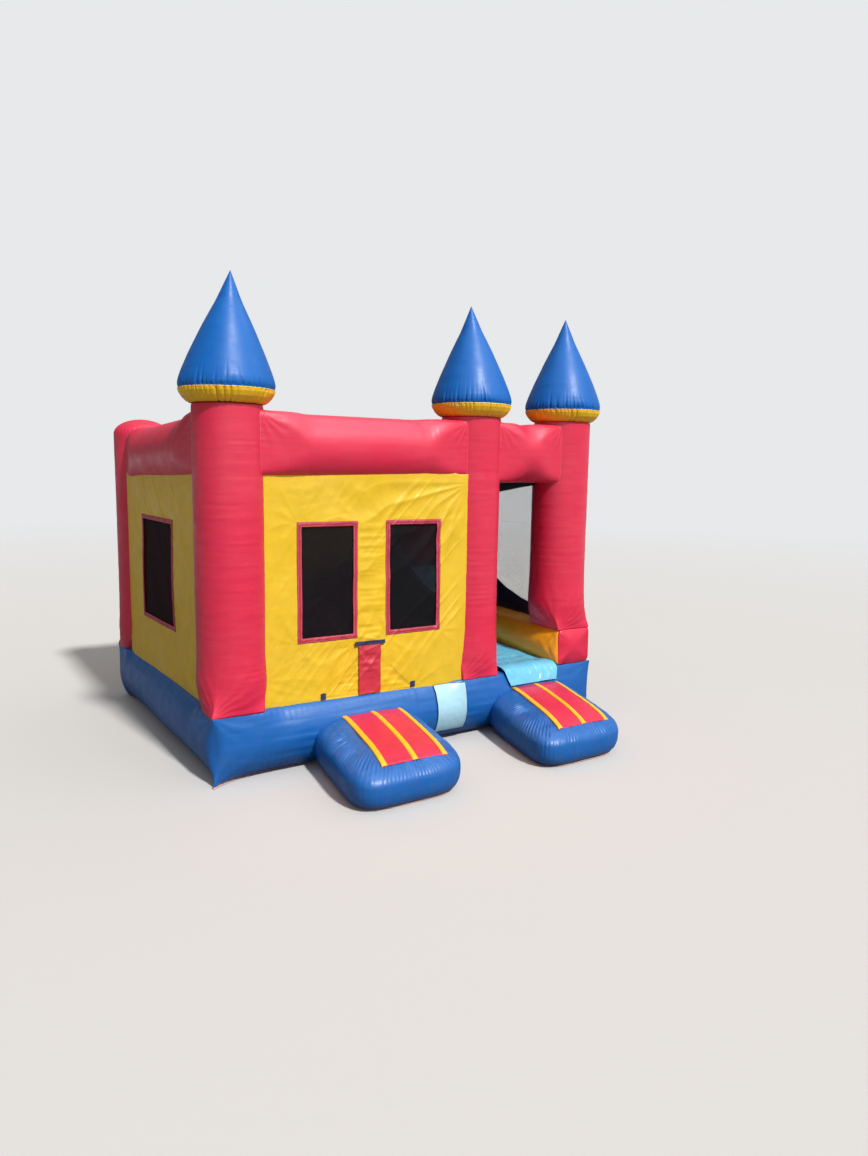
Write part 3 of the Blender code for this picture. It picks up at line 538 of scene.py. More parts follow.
def beam(name, first, last, outward, droop=0.0, over_sheet=True):
    """A tube sewn between two columns. Its ends are squarer than its middle and follow the round columns."""
    start, end = COLUMN_AT[first], COLUMN_AT[last]
    length = (end - start).length
    along = (end - start).normalized()
    depth = Vector((-along.y, along.x)) * outward
    seed = seed_of(name)
    angle = turn_angles(176)
    shares = (1 - np.cos(np.linspace(0, math.pi, 170))) / 2
    end_depth, end_raised, end_power = 0.243, 0.035, 11.0
    middle_depth, middle_power, middle_up = 0.315, 2.15, 0.325
    end_u = ring_offsets(angle, 1, 1, end_power)[0] * end_depth
    reach = np.sqrt(np.maximum(TUBE_RADIUS**2 - end_u**2, 0.0)) - 0.010
    rows = []
    for share in shares:
        from_end = min(share, 1 - share) * length
        open_up = smooth(from_end / 0.62)
        raised = mix(end_raised, 0, open_up)
        end_up = 0.30 if (first if share < 0.5 else last) in FRONT_COLUMNS else 0.215
        up = mix(end_up, middle_up, smooth(from_end / 0.45))
        here = mix(end_depth, middle_depth, open_up)
        power = mix(end_power, middle_power, open_up**0.5)
        u, v = beam_section(angle, here, up, raised, power, over_sheet)
        s = mix(reach, length - reach, share)
        x, y = (start[axis] + along[axis] * s + depth[axis] * u for axis in (0, 1))
        rows.append(spots(x, y, BEAM_Z + raised + v - droop * share))
    points = np.array(rows)
    near_end = np.minimum(shares, 1 - shares)[:, None] * length
    folds = np.exp(-near_end / 0.11) * gathers(angle, 30, seed)
    hoops = (0.03, 0.4, 0.4) if abs(along.x) > 0.5 else (0.4, 0.03, 0.4)
    ripple = 0.0012 * noise(points, hoops, seed + 1) * smooth(0.5 + noise(points, 0.35, seed + 2))
    corners = [end_row[np.argmax(end_row @ (*(depth * 0.9), 1.0))] for end_row in (points[0], points[-1])]
    fans = fan_folds(points, corners, 0.11, 17, seed) * np.minimum(near_end / 0.03, 1)
    upper = smooth(0.5 + (points[..., 2] - BEAM_Z) / 0.3)
    swell = 0.002 * noise(points, 0.7, seed) * np.minimum(near_end / 0.15, 1)
    points = puff(points, swell + ripple + 0.0022 * fans * upper - 0.004 * folds * upper)
    chamber(f"{name}_skin", points, red_vinyl, name)
    third = len(points) // 3
    for number, (run, at) in enumerate(((points[:third], start), (points[:-third:-1], end))):
        cord(f"{name}_seam_{number}", seam_ring(run, at, TUBE_RADIUS + 0.004), 0.0024, pink_seam)


def beams():
    beam("beam_front", "front_left", "middle", -1)
    beam("beam_slide_exit", "middle", "front_right", -1, over_sheet=False)
    beam("beam_back", "back_left", "back_right", 1)
    beam("beam_left", "front_left", "back_left", 1, droop=0.09)
    beam("beam_right", "front_right", "back_right", -1, over_sheet=False)


def turned(name, profile, centre, material, seed, seam_z, lean, pucker, reach):
    """A skin turned about a column's axis, gathered where it is sewn at seam_z."""
    angle = turn_angles(460)
    knots = np.array(profile)
    run = np.concatenate([[0], np.cumsum(np.hypot(*np.diff(knots, axis=0).T))])
    at = np.linspace(0, run[-1], 170)
    radius, height = (
        smoothed(np.interp(at, run, values), 9, "reflect", reflect_type="odd")[:, None]
        for values in knots.T
    )
    bend = ((height - height.min()) / (height.max() - height.min())) ** 1.5
    x = radius * np.cos(angle) + centre.x + lean[0] * bend
    y = radius * np.sin(angle) + centre.y + lean[1] * bend
    points = spots(x, y, height)
    off_seam = np.abs(height - seam_z)
    uneven = smooth(0.5 + noise(spots(np.cos(angle), np.sin(angle)), 0.09, seed))
    length = reach * (0.35 + 1.5 * uneven)
    folds = gathers(angle, 52, seed) * np.exp(-((off_seam / length) ** 1.5))
    folds += 0.6 * gathers(angle, 117, seed + 1) * np.exp(-off_seam / 0.028)
    folds *= 0.15 + 0.85 * smooth(off_seam / 0.014)
    swell = 0.004 * noise(points, 0.45, seed) * np.minimum(radius / 0.2, 1)
    return skin(name, puff(points, swell - pucker * folds), material, cap_last=True)


def turrets():
    """On each front column a spire, sewn to a bowl-shaped collar. Their outlines are (radius, height)."""
    spire = [(0.418, 0), (0.430, 0.02), (0.424, 0.07), (0.397, 0.15), (0.335, 0.30), (0.228, 0.53)]
    spire += [(0.112, 0.76), (0.0015, 1.02)]
    bowl = [(0.312, 0), (0.332, 0.003), (0.362, 0.020), (0.395, 0.055), (0.419, 0.095), (0.427, 0.124)]
    bowl += [(0.420, 0.130)]
    foot, (seam, tip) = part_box("collar_middle")[0].z, (corner.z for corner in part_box("spire_middle"))
    leans = ((0.040, -0.025), (-0.02, 0.012), (0, 0))
    for number, (which, lean) in enumerate(zip(FRONT_COLUMNS, leans)):
        for part, outline, low, high, material, seed, *shape in (
            ("spire", spire, seam, tip, spire_vinyl, 3, lean, 0.021, 0.052),
            ("collar", bowl, foot, seam, yellow_vinyl, 9, (0, 0), 0.020, 0.085),
        ):
            node = f"{part}_{which}"
            rise = [(radius, low + z * (high - low) / outline[-1][1]) for radius, z in outline]
            obj = turned(f"{node}_skin", rise, COLUMN_AT[which], material, number + seed, seam, *shape)
            dress(obj, node)


# ---------------------------------------------------------------- mattress, steps and ground seam
FOOT_IN, FOOT_ROUND = 0.235, 0.42  # how far the mattress's foot draws in, and over which share of its height


def round_off(share, start):
    """0 up to start, then a quarter circle's drop to 1."""
    return 1 - np.sqrt(np.maximum(1 - np.clip((share - start) / (1 - start), 0, 1) ** 2, 0))


def corner_opening(to_corner):
    """0 in a pinched corner, rising to 1 away from it."""
    return 1 - np.exp(-to_corner / 0.26)


def base_offset(places, to_corner, height, low_at_corner=0.0):
    """How far the mattress's side stands out from its footprint, for points in plan and a height."""
    share = np.clip(height / FLOOR_TOP, 0, 1)
    clear = np.full(places.shape[:-1], 9.0)
    for low, high in map(foot_corners, COLUMN_AT):
        gap_x = np.maximum(np.maximum(low.x - places[..., 0], places[..., 0] - high.x), 0)
        gap_y = np.maximum(np.maximum(low.y - places[..., 1], places[..., 1] - high.y), 0)
        clear = np.minimum(clear, np.hypot(gap_x, gap_y))
    open_top = smooth(clear / 0.22)
    opening = corner_opening(to_corner)
    swell = 0.050 * opening * np.sin(math.pi * share) ** 0.8
    top_in = (0.012 + 0.082 * open_top) * round_off(share, 0.50) * np.minimum(opening * 2, 1)
    foot_in = FOOT_IN * np.maximum(opening, low_at_corner) * round_off(1 - share, FOOT_ROUND)
    return swell * pinch_lines(places, height) - top_in - foot_in


def pinch_lines(places, height):
    """1, and less where the zip and the anchor loops are sewn to the back and hold the bulge in."""
    zip_low, zip_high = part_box("zip_tape")
    x = places[..., 0]
    along = smooth((x - zip_low.x + 0.12) / 0.12) * smooth((zip_high.x + 0.12 - x) / 0.12)
    hold = along * np.exp(-(((height - (zip_low.z + zip_high.z) / 2) / 0.10) ** 4))
    for which in BACK_COLUMNS:
        spot = middle_of(f"anchor_loop_{which}")
        off = np.hypot(x - spot.x, height - spot.z - 0.02)
        hold = np.maximum(hold, np.exp(-((off / 0.13) ** 4)))
    return 1 - np.where(places[..., 1] > BACK - 0.3, hold, 0)


def perimeter(low, high, per_side):
    """Points round a rectangle.

    Each comes with its outward direction, its share along the side, its distance to the nearest corner and
    the number of the corner before it.
    """
    corners = [Vector(low), Vector((high[0], low[1])), Vector(high), Vector((low[0], high[1]))]
    points = []
    for i in range(4):
        start, end = corners[i], corners[(i + 1) % 4]
        side = (end - start).normalized()
        for share in (j / per_side for j in range(per_side)):
            to_corner = min(share, 1 - share) * (end - start).length
            points.append((tuple(start.lerp(end, share)), (side.y, -side.x), share, to_corner, i))
    return (np.array(values) for values in zip(*points))


def mattress():
    """The floor. Its sides bulge and its foot draws in between pinched corners."""
    places, outward, shares, to_corner, corner = perimeter((LEFT, FRONT), (RIGHT, BACK), 260)
    next_corner = (corner + 1) % 4
    nearest = np.where(shares < 0.5, corner, next_corner)
    corner_at = np.array([(LEFT, FRONT), (RIGHT, FRONT), (RIGHT, BACK), (LEFT, BACK)])
    inward = np.array([(1, 1), (-1, 1), (-1, -1), (1, -1)])
    corner_low = np.array([0.0, 0.0, 0.55, 0.55])  # the back corners are rounder at the foot
    corner_round = np.array([0.13, 0.05, 0.15, 0.15])
    corner_hold = corner_low[nearest] * np.exp(-to_corner / 0.5)
    away = spots(-outward[:, 1], outward[:, 0]) * np.where(shares < 0.5, 1, -1)[:, None]
    rows = []
    for level in 1 - (1 - np.linspace(0, 1, 84)) ** 1.35:
        height = max(FLOOR_TOP * level, 0.004)
        out = base_offset(places, to_corner, height, corner_hold)
        drawn = -FOOT_IN * corner_low * round_off(1 - level, FOOT_ROUND)
        drawn_at = corner_at - inward * drawn[:, None]
        ring = mix(drawn_at[corner], drawn_at[next_corner], shares[:, None])
        ring += outward * (out - mix(drawn[corner], drawn[next_corner], shares))[:, None]
        radius = corner_round[nearest] * math.sin(math.pi * level) ** 0.7 + 1e-6
        turn = math.pi / 4 * (1 - np.clip(to_corner / radius, 0, 1))
        along = radius * (1 - np.sin(turn)) - np.minimum(to_corner, radius)
        ring += away * along[:, None] - outward * (radius * (1 - np.cos(turn)))[:, None]
        rows.append(spots(*ring.T, height))
    points = np.array(rows)
    height = points[..., 2]
    opening = corner_opening(to_corner)
    spread = np.cumsum(np.linalg.norm(np.roll(places, -1, 0) - places, axis=1))
    baffle_pitch, baffle_width = 0.914, 0.012
    off_baffle = np.mod(spread + 0.1, baffle_pitch) - baffle_pitch / 2
    baffles = np.exp(-(off_baffle**2) / baffle_width**2) * opening
    baffles = baffles * smooth(0.5 + noise(points, (0.6, 0.6, 0.3), 12))
    gather = np.sin(spread * 47 + 8 * noise(places, 0.5, 4)) ** 2
    bands = np.exp(-((FLOOR_TOP - height) / 0.05)) * 0.6 + np.exp(-height / 0.09)
    folds = 0.009 * gather * bands * opening * (0.4 + smooth(0.5 + noise(points, 0.4, 5)))
    uneven = 0.007 * noise(points, (0.5, 0.5, 0.4), 3) + 0.0030 * noise(points, (0.3, 0.3, 0.045), 8)
    corners = [(x, FRONT, z) for x in (LEFT, RIGHT) for z in (0.0, FLOOR_TOP)]
    fans = 0.004 * fan_folds(points, corners, 0.13, 13, 14)
    points = puff(points, (uneven + fans) * opening - folds - 0.005 * baffles)
    top = [
        spots(*(points[-1, :, :2] * (1 - inset / 2)).T, FLOOR_TOP + lift)
        for inset, lift in ((0.02, 0.0), (0.08, 0.002), (0.5, 0.0))
    ]
    under = points[0] * (0.9, 0.9, 0) + (0, 0, 0.002)
    points = np.concatenate([[under], points, top])
    chamber("mattress", points, blue_vinyl, "floor_mattress")
    seam_strip("mattress_ground_seam", points[1])


def front_face(x, height, lift=0.0):
    """Points on the front of the mattress."""
    out = base_offset(spots(x, FRONT), np.minimum(x - LEFT, RIGHT - x), height)
    return spots(x, FRONT - out - lift, height)


def blank_patch():
    """The plain sheet sewn to the front of the mattress, between the steps."""
    left, width, foot, top = LEFT + 2.38, 0.37, 0.12, 0.625
    x, z = flat_grid((left, foot), (left + width, top), (40, 50))
    flat = spots(x, z)
    lift = 0.009 + 0.0025 * noise(flat, (0.12, 0.3), 41) + 0.0015 * noise(flat, 0.04, 42)
    cloth("blank_patch", front_face(x, z, lift), patch_vinyl)
    edge = np.concatenate([flat[:, 0], flat[-1], flat[::-1, -1], flat[0, ::-1]])
    cord("blank_patch_edge", front_face(*edge.T, 0.012), 0.0022, blue_webbing)


def seam_strip(name, ring):
    """The raw edge of the ground sheet, a narrow pinkish strip that stands out at the foot."""
    outward = unit(np.cross(np.roll(ring, -1, 0) - np.roll(ring, 1, 0), (0, 0, 1)))
    wave = 0.004 * noise(ring[:, :2], 0.05, 2)[:, None]
    inner = ring - outward * 0.01 + (0, 0, 0.002)
    outer = ring + outward * (0.022 + wave)
    outer[:, 2] = 0.004 + np.abs(wave[:, 0])
    dress(solid(skin(name, np.array([inner, outer]), seam_vinyl)))


def jumping_floor():
    """The red top of the mattress inside the walls, quilted by its inner baffles."""
    inset, pitch, depth = 0.12, 0.43, 0.022
    low = Vector((LEFT + inset, FRONT + inset))
    high = Vector((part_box("slide_divider")[1].x, BACK - inset))
    x, y = flat_grid(low, high, (190, 130))
    channel = np.abs(np.sin(math.pi * (x - low.x) / pitch)) ** 0.5
    edge = edge_distance(x, y, low, high)
    rise = depth * channel * smooth(edge / 0.12) + 0.006
    rise = rise + 0.003 * noise(spots(x, y), (0.05, 0.3), 6) * smooth(edge / 0.1)
    points = spots(x, y, FLOOR_TOP - 0.002 + rise)
    cloth("jumping_floor", points, red_sheet, thickness=0.004, offset=-1)


class Step:
    """A step cushion: soft corners, a crowned top that falls away from the house, and gathers below it."""

    def __init__(self, node):
        low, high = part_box(node)
        self.node = node
        self.attach, self.front = high.y + 0.02, low.y - 0.01
        back = self.attach + 0.26
        self.height = high.z + 0.024
        self.fall = 0.10
        self.veer = -0.20 if node == "entry_step" else -0.32
        self.length = back - self.front
        self.slope_length = self.attach - self.front
        self.half = (high.x - low.x + self.veer) / 2
        self.centre = high.x - self.half
        self.middle_y = (back + self.front) / 2
        self.plan_power, self.side_power = 4.8, 2.7
        self.tread_centre = self.centre + 0.05

    def shift(self, y):
        """How far the step has veered sideways at y."""
        return self.veer * (self.attach - y) / self.slope_length

    def top(self, y):
        return self.height - self.fall * np.maximum((self.attach - y) / self.slope_length, 0)

    def surface_z(self, x, y):
        """Height of the top surface."""
        across = np.abs((x - self.centre - self.shift(y)) / self.half)
        along = np.abs((y - self.middle_y) / (self.length / 2))
        reach = (across**self.plan_power + along**self.plan_power) ** (1 / self.plan_power)
        lift = np.maximum(1 - reach**self.side_power, 0) ** (1 / self.side_power)
        return self.top(y) / 2 * (1 + lift)

    def body(self, seed):
        angle = turn_angles(640)
        plan_x, plan_y = ring_offsets(angle, 1, 1, self.plan_power)
        rows = []
        for turn in np.linspace(-math.pi / 2, math.pi / 2, 112)[1:-1]:
            if turn > 0:
                rise, reach = (part ** (2 / self.side_power) for part in (math.sin(turn), math.cos(turn)))
            else:
                rise = -abs(math.sin(turn)) ** 0.8
                reach = mix(0.80, 1, math.cos(turn) ** 0.9) if turn > -1.45 else 0.5
            y = self.middle_y + plan_y * reach * self.length / 2
            x = self.centre + self.shift(y) + plan_x * reach * self.half
            rows.append(spots(x, y, np.maximum(self.top(y) / 2 * (1 + rise), 0.003)))
        points = np.array(rows)
        number = np.arange(len(rows))[:, None]
        seam_row = 85
        off = (number - seam_row) / 17.0
        below = np.where(off < 0, np.exp(off), np.exp(-off * 5))
        folds = gathers(angle, 104, seed) * (0.013 * below + 0.010 * np.exp(-number / 11))
        folds = folds * (0.2 + 1.5 * smooth(0.5 + noise(points, 0.09, seed + 3)))
        crumple = 0.0060 * noise(points, (0.045, 0.045, 0.10), seed + 4) * np.exp(-np.abs(off))
        points = puff(points, 0.005 * noise(points, 0.35, seed) - folds + crumple)
        points[..., 2] = np.maximum(points[..., 2], 0.002)
        chamber(f"{self.node}_skin", points, blue_vinyl, self.node)
        foot = points[np.argmax(points[:, 0, 2] > 0.012)]
        seam_strip(f"{self.node}_ground_seam", foot * (1, 1, 0) + (0, 0, 0.004))

    def strip(self, name, left, right, lift, crown, material, seed, *nodes):
        """A padded strip along the step's top between two offsets from the tread's middle."""
        near, far = self.attach - 0.015, self.front + 0.145
        y, share = flat_grid((near, 0), (far, 1), (150, 9 if crown > 0.006 else 60))
        x = self.tread_centre + self.shift(y) + mix(left, right, share)
        bow = (1 - (2 * share - 1) ** 4) * crown
        ends = smooth(np.minimum(near - y, y - far) / 0.012)
        z = self.surface_z(x, y) + lift + bow * ends + 0.0015 * noise(spots(x, y), (0.3, 0.05), seed)
        cloth(name, spots(x, y, z), material, *nodes, thickness=lift + 0.004, offset=-1)

    def tread(self, seed):
        half, rib = 0.34, 0.058
        name = f"{self.node}_tread"
        self.strip(f"{name}_pad", -half, half, 0.005, 0.004, red_vinyl, seed, name)
        for number, left in enumerate((-half, -rib / 2, half - rib)):
            self.strip(f"{name}_rib_{number}", left, left + rib, 0.009, 0.009, yellow_vinyl, seed + number)


def steps():
    for seed, node in enumerate(("entry_step", "exit_step")):
        step = Step(node)
        step.body(seed + 20)
        step.tread(seed + 30)


# ---------------------------------------------------------------- wall sheets, windows and nets
def stars(u, v, centres, reach, folds, seed):
    """Tension creases that fan out from points, sharper on their crests than between them."""
    total = np.zeros_like(u)
    for number, (cu, cv) in enumerate(centres):
        du, dv = u - cu, v - cv
        distance = np.hypot(du, dv) + 1e-6
        angle = np.arctan2(dv, du)
        drift = noise(spots(u, v), 0.30, seed + number) * 2.2
        uneven = smooth(0.5 + noise(spots(np.cos(angle), np.sin(angle)), 0.45, seed + number + 3))
        crest = 1 - 2 * np.abs(np.sin((angle * folds + drift + number) / 2)) ** 0.7
        total += distance / reach * np.exp(1 - distance / reach) * crest * uneven
    return total


def ridges(u, v, slant, long, short, seed):
    """Sharp creases that all run one way, at a slant in degrees, and fade in and out."""
    along, across = math.cos(math.radians(slant)), math.sin(math.radians(slant))
    flat = spots(u * along + v * across, -u * across + v * along)
    crest = np.maximum(1 - 2.6 * np.abs(noise(flat, (long, short), seed)), 0) ** 1.5
    return crest * smooth(0.35 + 1.2 * noise(flat, (long * 0.8, short * 4), seed + 1))


def rectangle(low, high, inset=0.0):
    """Its four corners, anticlockwise from the low one."""
    (u0, v0), (u1, v1) = low, high
    u0, v0, u1, v1 = u0 + inset, v0 + inset, u1 - inset, v1 - inset
    return [(u0, v0), (u1, v0), (u1, v1), (u0, v1)]


class WallSheet:
    """A tight sheet in a vertical plane, with windows and its own field of wrinkles."""

    def __init__(self, node, outward, windows, seed, lean, knots):
        low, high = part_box(node)
        self.node, self.outward, self.seed, self.lean, self.knots = node, outward, seed, lean, knots
        self.across_y = (high.y - low.y) > (high.x - low.x)
        self.at = (low.x + high.x) / 2 if self.across_y else (low.y + high.y) / 2
        into_column, into_mattress, top = 0.07, 0.06, 2.86
        (left, foot), (right, _) = self.flat_box(node)
        self.low, self.high = (left - into_column, foot - into_mattress), (right + into_column, top)
        self.windows = [self.flat_box(f"trim_{name}") for name in windows]

    def flat_box(self, node):
        return tuple((corner.y if self.across_y else corner.x, corner.z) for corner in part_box(node))

    def bulge(self, u, v):
        """How far the sheet stands out of its plane."""
        flat, seed = spots(u, v), self.seed
        high_pull, low_pull = 2.75, 0.9  # where the columns pull on the sheet's sides
        share = np.clip((u - self.low[0]) / (self.high[0] - self.low[0]), 0, 1)
        corners = [corner for window in self.windows for corner in itertools.product(*zip(*window))]
        out = 0.0016 * stars(u, v, corners, 0.16, 9, seed)
        out += 0.0062 * stars(u, v, [(self.high[0], high_pull)], 0.60, 22, seed + 20)
        out += 0.0012 * stars(u, v, [(self.low[0], high_pull), (self.low[0], low_pull)], 0.40, 14, seed + 24)
        out += 0.0030 * stars(u, v, self.knots, 0.16, 10, seed + 28)
        out += 0.0066 * ridges(u, v, 46, 1.10, 0.070, seed + 3) * (0.35 + share)
        out += 0.0030 * ridges(u, v, 56, 0.80, 0.045, seed + 6) * (1.1 - share)
        out += 0.0010 * ridges(u, v, 8, 0.30, 0.035, seed + 8)
        out += 0.0004 * noise(flat, 0.035, seed + 4)
        out += 0.007 * noise(flat, 0.5, seed + 5)
        if len(self.windows) > 1:
            (_, foot), (left, _) = self.windows[0]
            (right, _), (_, head) = self.windows[1]
            between = smooth((u - left) / 0.04) * smooth((right - u) / 0.04)
            between = between * smooth((v - foot) / 0.1) * smooth((head - v) / 0.1)
            level = 0.004 * noise(flat, (0.5, 0.045), seed + 9)
            out += between * (level + 0.002 * noise(flat, (0.2, 0.018), seed + 10))
        edge = edge_distance(u, v, self.low, self.high)
        return 1.45 * out * (0.15 + 0.85 * smooth((edge - 0.04) / 0.14)) + self.lean * share**1.2

    def place(self, u, v, lift=0.0):
        """Points on the sheet, or lifted off it."""
        if self.lean:  # it droops at the top of its leaning end
            near_high_end = smooth((u - self.high[0] + 0.24) / 0.12)
            v = v - 0.030 * near_high_end * smooth((v - 2.62) / 0.22)
        out = self.at + self.outward * (self.bulge(u, v) + lift)
        return spots(out, u, v) if self.across_y else spots(u, out, v)

    def build(self, *holes):
        """Cuts the holes' edges into a fine grid, drops the faces inside and then wrinkles it."""
        cell, trim_cover = 0.013, 0.03
        (u0, v0), (u1, v1) = self.low, self.high
        nu, nv = int((u1 - u0) / cell), int((v1 - v0) / cell)
        bm = bmesh.new()
        grid = [
            [bm.verts.new((mix(u0, u1, i / nu), mix(v0, v1, j / nv), 0)) for j in range(nv + 1)]
            for i in range(nu + 1)
        ]
        for i, j in itertools.product(range(nu), range(nv)):
            bm.faces.new((grid[i][j], grid[i + 1][j], grid[i + 1][j + 1], grid[i][j + 1]))
        for outline in (*(rectangle(*window, trim_cover) for window in self.windows), *holes):
            cut_hole(bm, outline)
        flat = np.array([v.co[:2] for v in bm.verts])
        for vert, co in zip(bm.verts, self.place(*flat.T)):
            vert.co = co
        bmesh.ops.recalc_face_normals(bm, faces=bm.faces)
        dress(solid(object_from_bmesh(f"{self.node}_sheet", bm, yellow_sheet)), self.node)

    def trim(self, name):
        """Sewn binding round a window: a puffed band with mitred corners."""
        width, per_side = 0.048, 60
        corners = rectangle(*self.flat_box(f"trim_{name}"))
        inward = rectangle((1, 1), (-1, -1))
        share = np.arange(per_side)[:, None] / per_side
        edge, inward = (
            np.concatenate([mix(np.array(values[i - 1]), np.array(values[i]), share) for i in (1, 2, 3, 0)])
            for values in (corners, inward)
        )
        across = np.linspace(0, 1, 11)[:, None]
        u, v = (edge[:, axis] + across * width * inward[:, axis] for axis in (0, 1))
        stitching = np.exp(-((np.abs(across - 0.5) - 0.30) ** 2) / 0.003)
        pad = 0.0045 * (1 - (2 * across - 1) ** 6) - 0.0022 * stitching
        pucker = 0.0012 * noise(spots(u, v), 0.02, self.seed + 11)
        run = np.cumsum(np.hypot(*(np.roll(edge, -1, 0) - edge).T))
        points = self.place(u, v, 0.003 + pad + pucker)
        sewn = skin(f"trim_{name}_binding", points, crimson_webbing, layout=(across[:, 0], run))
        dress(solid(sewn), f"trim_{name}")

    def net(self, name):
        u, v = flat_grid(*self.flat_box(f"net_{name}"), (50, 70))
        sag = 0.003 * noise(spots(u, v), (0.3, 0.5), self.seed + 13)[..., None]
        points = self.place(u, v, -0.010) + sag
        dress(skin(f"net_{name}_mesh", points, black_net, closed=False), f"net_{name}")


def cut_hole(bm, outline):
    """Cuts a convex outline, anticlockwise, out of a flat mesh in its first two axes."""
    sides = list(zip(outline, (*outline[1:], outline[0])))
    for (ua, va), (ub, vb) in sides:
        everything = bm.verts[:] + bm.edges[:] + bm.faces[:]
        across = (vb - va, ua - ub, 0)
        bmesh.ops.bisect_plane(bm, geom=everything, plane_co=(ua, va, 0), plane_no=across, dist=1e-6)
    inside = []
    for face in bm.faces:
        u, v, _ = face.calc_center_median()
        if all((ub - ua) * (v - va) - (vb - va) * (u - ua) > 0 for (ua, va), (ub, vb) in sides):
            inside.append(face)
    bmesh.ops.delete(bm, geom=inside, context="FACES")


def entry_outline():
    """The triangle between the two tabs and the strap, anticlockwise."""
    left, right = middle_of("entry_tab_left"), middle_of("entry_tab_right")
    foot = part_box("wall_front")[0].z
    return [(left.x, foot), (right.x, foot), ((left.x + right.x) / 2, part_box("entry_cover")[1].z - 0.008)]


def sew(obj, body):
    """Applies a cloth piece's modifiers and placement to its mesh and hides the CAD node named body."""
    apply_modifiers(obj)
    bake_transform(obj)
    dress(obj, body, body=None)


def flap(name, sheet, foot, top):
    """A triangle of the wall sheet below its slanting edge, from foot to top."""
    (foot_u, foot_v), (top_u, top_v) = foot, top
    share = np.linspace(0, 1, 90)
    edge_v = mix(foot_v, top_v, share)[1:, None]
    u, v = np.broadcast_arrays(mix(foot_u, top_u, share)[1:, None], mix(foot_v, edge_v, share))
    puffy = 0.004 * noise(spots(u, v), (0.16, 0.03), sheet.seed + 40) * smooth((edge_v - v) / 0.05)
    obj = solid(skin(f"{name}_sheet", sheet.place(u, v, puffy), yellow_sheet, closed=False))
    across = Vector((top_v - foot_v, foot_u - top_u)).normalized()
    if across.y > 0:
        across = -across
    sew(obj, name)


def band(name, node, sheet, lift, material, cells, crinkle, seed):
    """A flat strip on the wall sheet over a CAD node's box, with softly rounded edges."""
    low, high = sheet.flat_box(node)
    u, v = flat_grid(low, high, cells)
    rumple = crinkle * noise(spots(u, v), (0.25, 0.035), seed)
    rumple = rumple + 0.4 * crinkle * noise(spots(u, v), 0.05, seed)
    points = sheet.place(u, v, lift + rumple * smooth(edge_distance(u, v, low, high) / 0.02))
    return solid(skin(name, points, material, closed=False), 0.004)


def entry(sheet, outline):
    """Two flaps in the wall's triangular opening, the strip over their slit, and its strap and tabs."""
    left, right, top = outline
    flap("entry_flap_left", sheet, left, top)
    flap("entry_flap_right", sheet, right, top)
    cover = band("entry_cover_strip", "entry_cover", sheet, 0.019, red_sheet, (24, 100), 0.006, 50)
    sew(cover, "entry_cover")
    for node, *shape in (
        ("entry_strap", 0.024, blue_webbing, (60, 12), 0.001, 51),
        ("entry_tab_left", 0.012, blue_webbing, (12, 14), 0.0008, 52),
        ("entry_tab_right", 0.012, blue_webbing, (12, 14), 0.0008, 52),
    ):
        dress(band(f"{node}_webbing", node, sheet, *shape), node)


def walls():
    outline = entry_outline()
    strap_low, strap_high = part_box("entry_strap")
    pulls = [*outline[:2], (strap_low.x, strap_low.z), (strap_high.x, strap_low.z)]
    for node, outward, windows, seed, lean, knots, holes in (
        ("wall_front", -1, ("front_window_left", "front_window_right"), 1, 0.047, pulls, [outline]),
        ("wall_left", -1, ("left_window",), 5, 0.042, (), ()),
        ("wall_back", 1, ("back_window",), 7, 0.0, (), ()),
    ):
        sheet = WallSheet(node, outward, windows, seed, lean, knots)
        sheet.build(*holes)
        for name in windows:
            sheet.trim(name)
            sheet.net(name)
        if holes:
            entry(sheet, outline)


def cad_outline_top(node):
    """The highest CAD point at each place along Y, as two arrays."""
    tops = {}
    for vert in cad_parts[node].data.vertices:
        place = round(vert.co.y, 4)
        tops[place] = max(tops.get(place, -1.0), vert.co.z)
    places = sorted(tops)
    return np.array(places), np.array([tops[p] for p in places])


def right_side():
    """The blue sheet beside the slide, darkened to navy as painted shade, and the netting above it."""
    low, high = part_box("wall_right")
    net_top = 2.83
    x = (low.x + high.x) / 2
    y, share = flat_grid((low.y, 0), (high.y, 1), (150, 70))
    top = np.interp(y, *cad_outline_top("wall_right"))
    z = mix(low.z - 0.03, top, share)
    out = 0.005 * noise(spots(y, z), (0.5, 0.09), 61) + 0.004 * noise(spots(y, z), 0.3, 62)
    cloth("wall_right_sheet", spots(x + out, y, z), navy_vinyl, "wall_right")
    z = mix(top, net_top, share)
    out = 0.006 * noise(spots(y, z), 0.4, 63)
    dress(skin("net_right_mesh", spots(x + out, y, z), side_net, closed=False), "net_right")


def roof():
    """The shade net, which sags from its edges."""
    low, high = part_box("roof_net")
    x, y = flat_grid(low, high, (90, 70))
    u, v = (x - low.x) / (high.x - low.x) * 2 - 1, (y - low.y) / (high.y - low.y) * 2 - 1
    z = high.z + 0.026 - 0.22 * (1 - u**4) * (1 - v**4) + 0.008 * noise(spots(x, y), 0.4, 71)
    dress(skin("roof_mesh", spots(x, y, z), shade_net, closed=False), "roof_net")


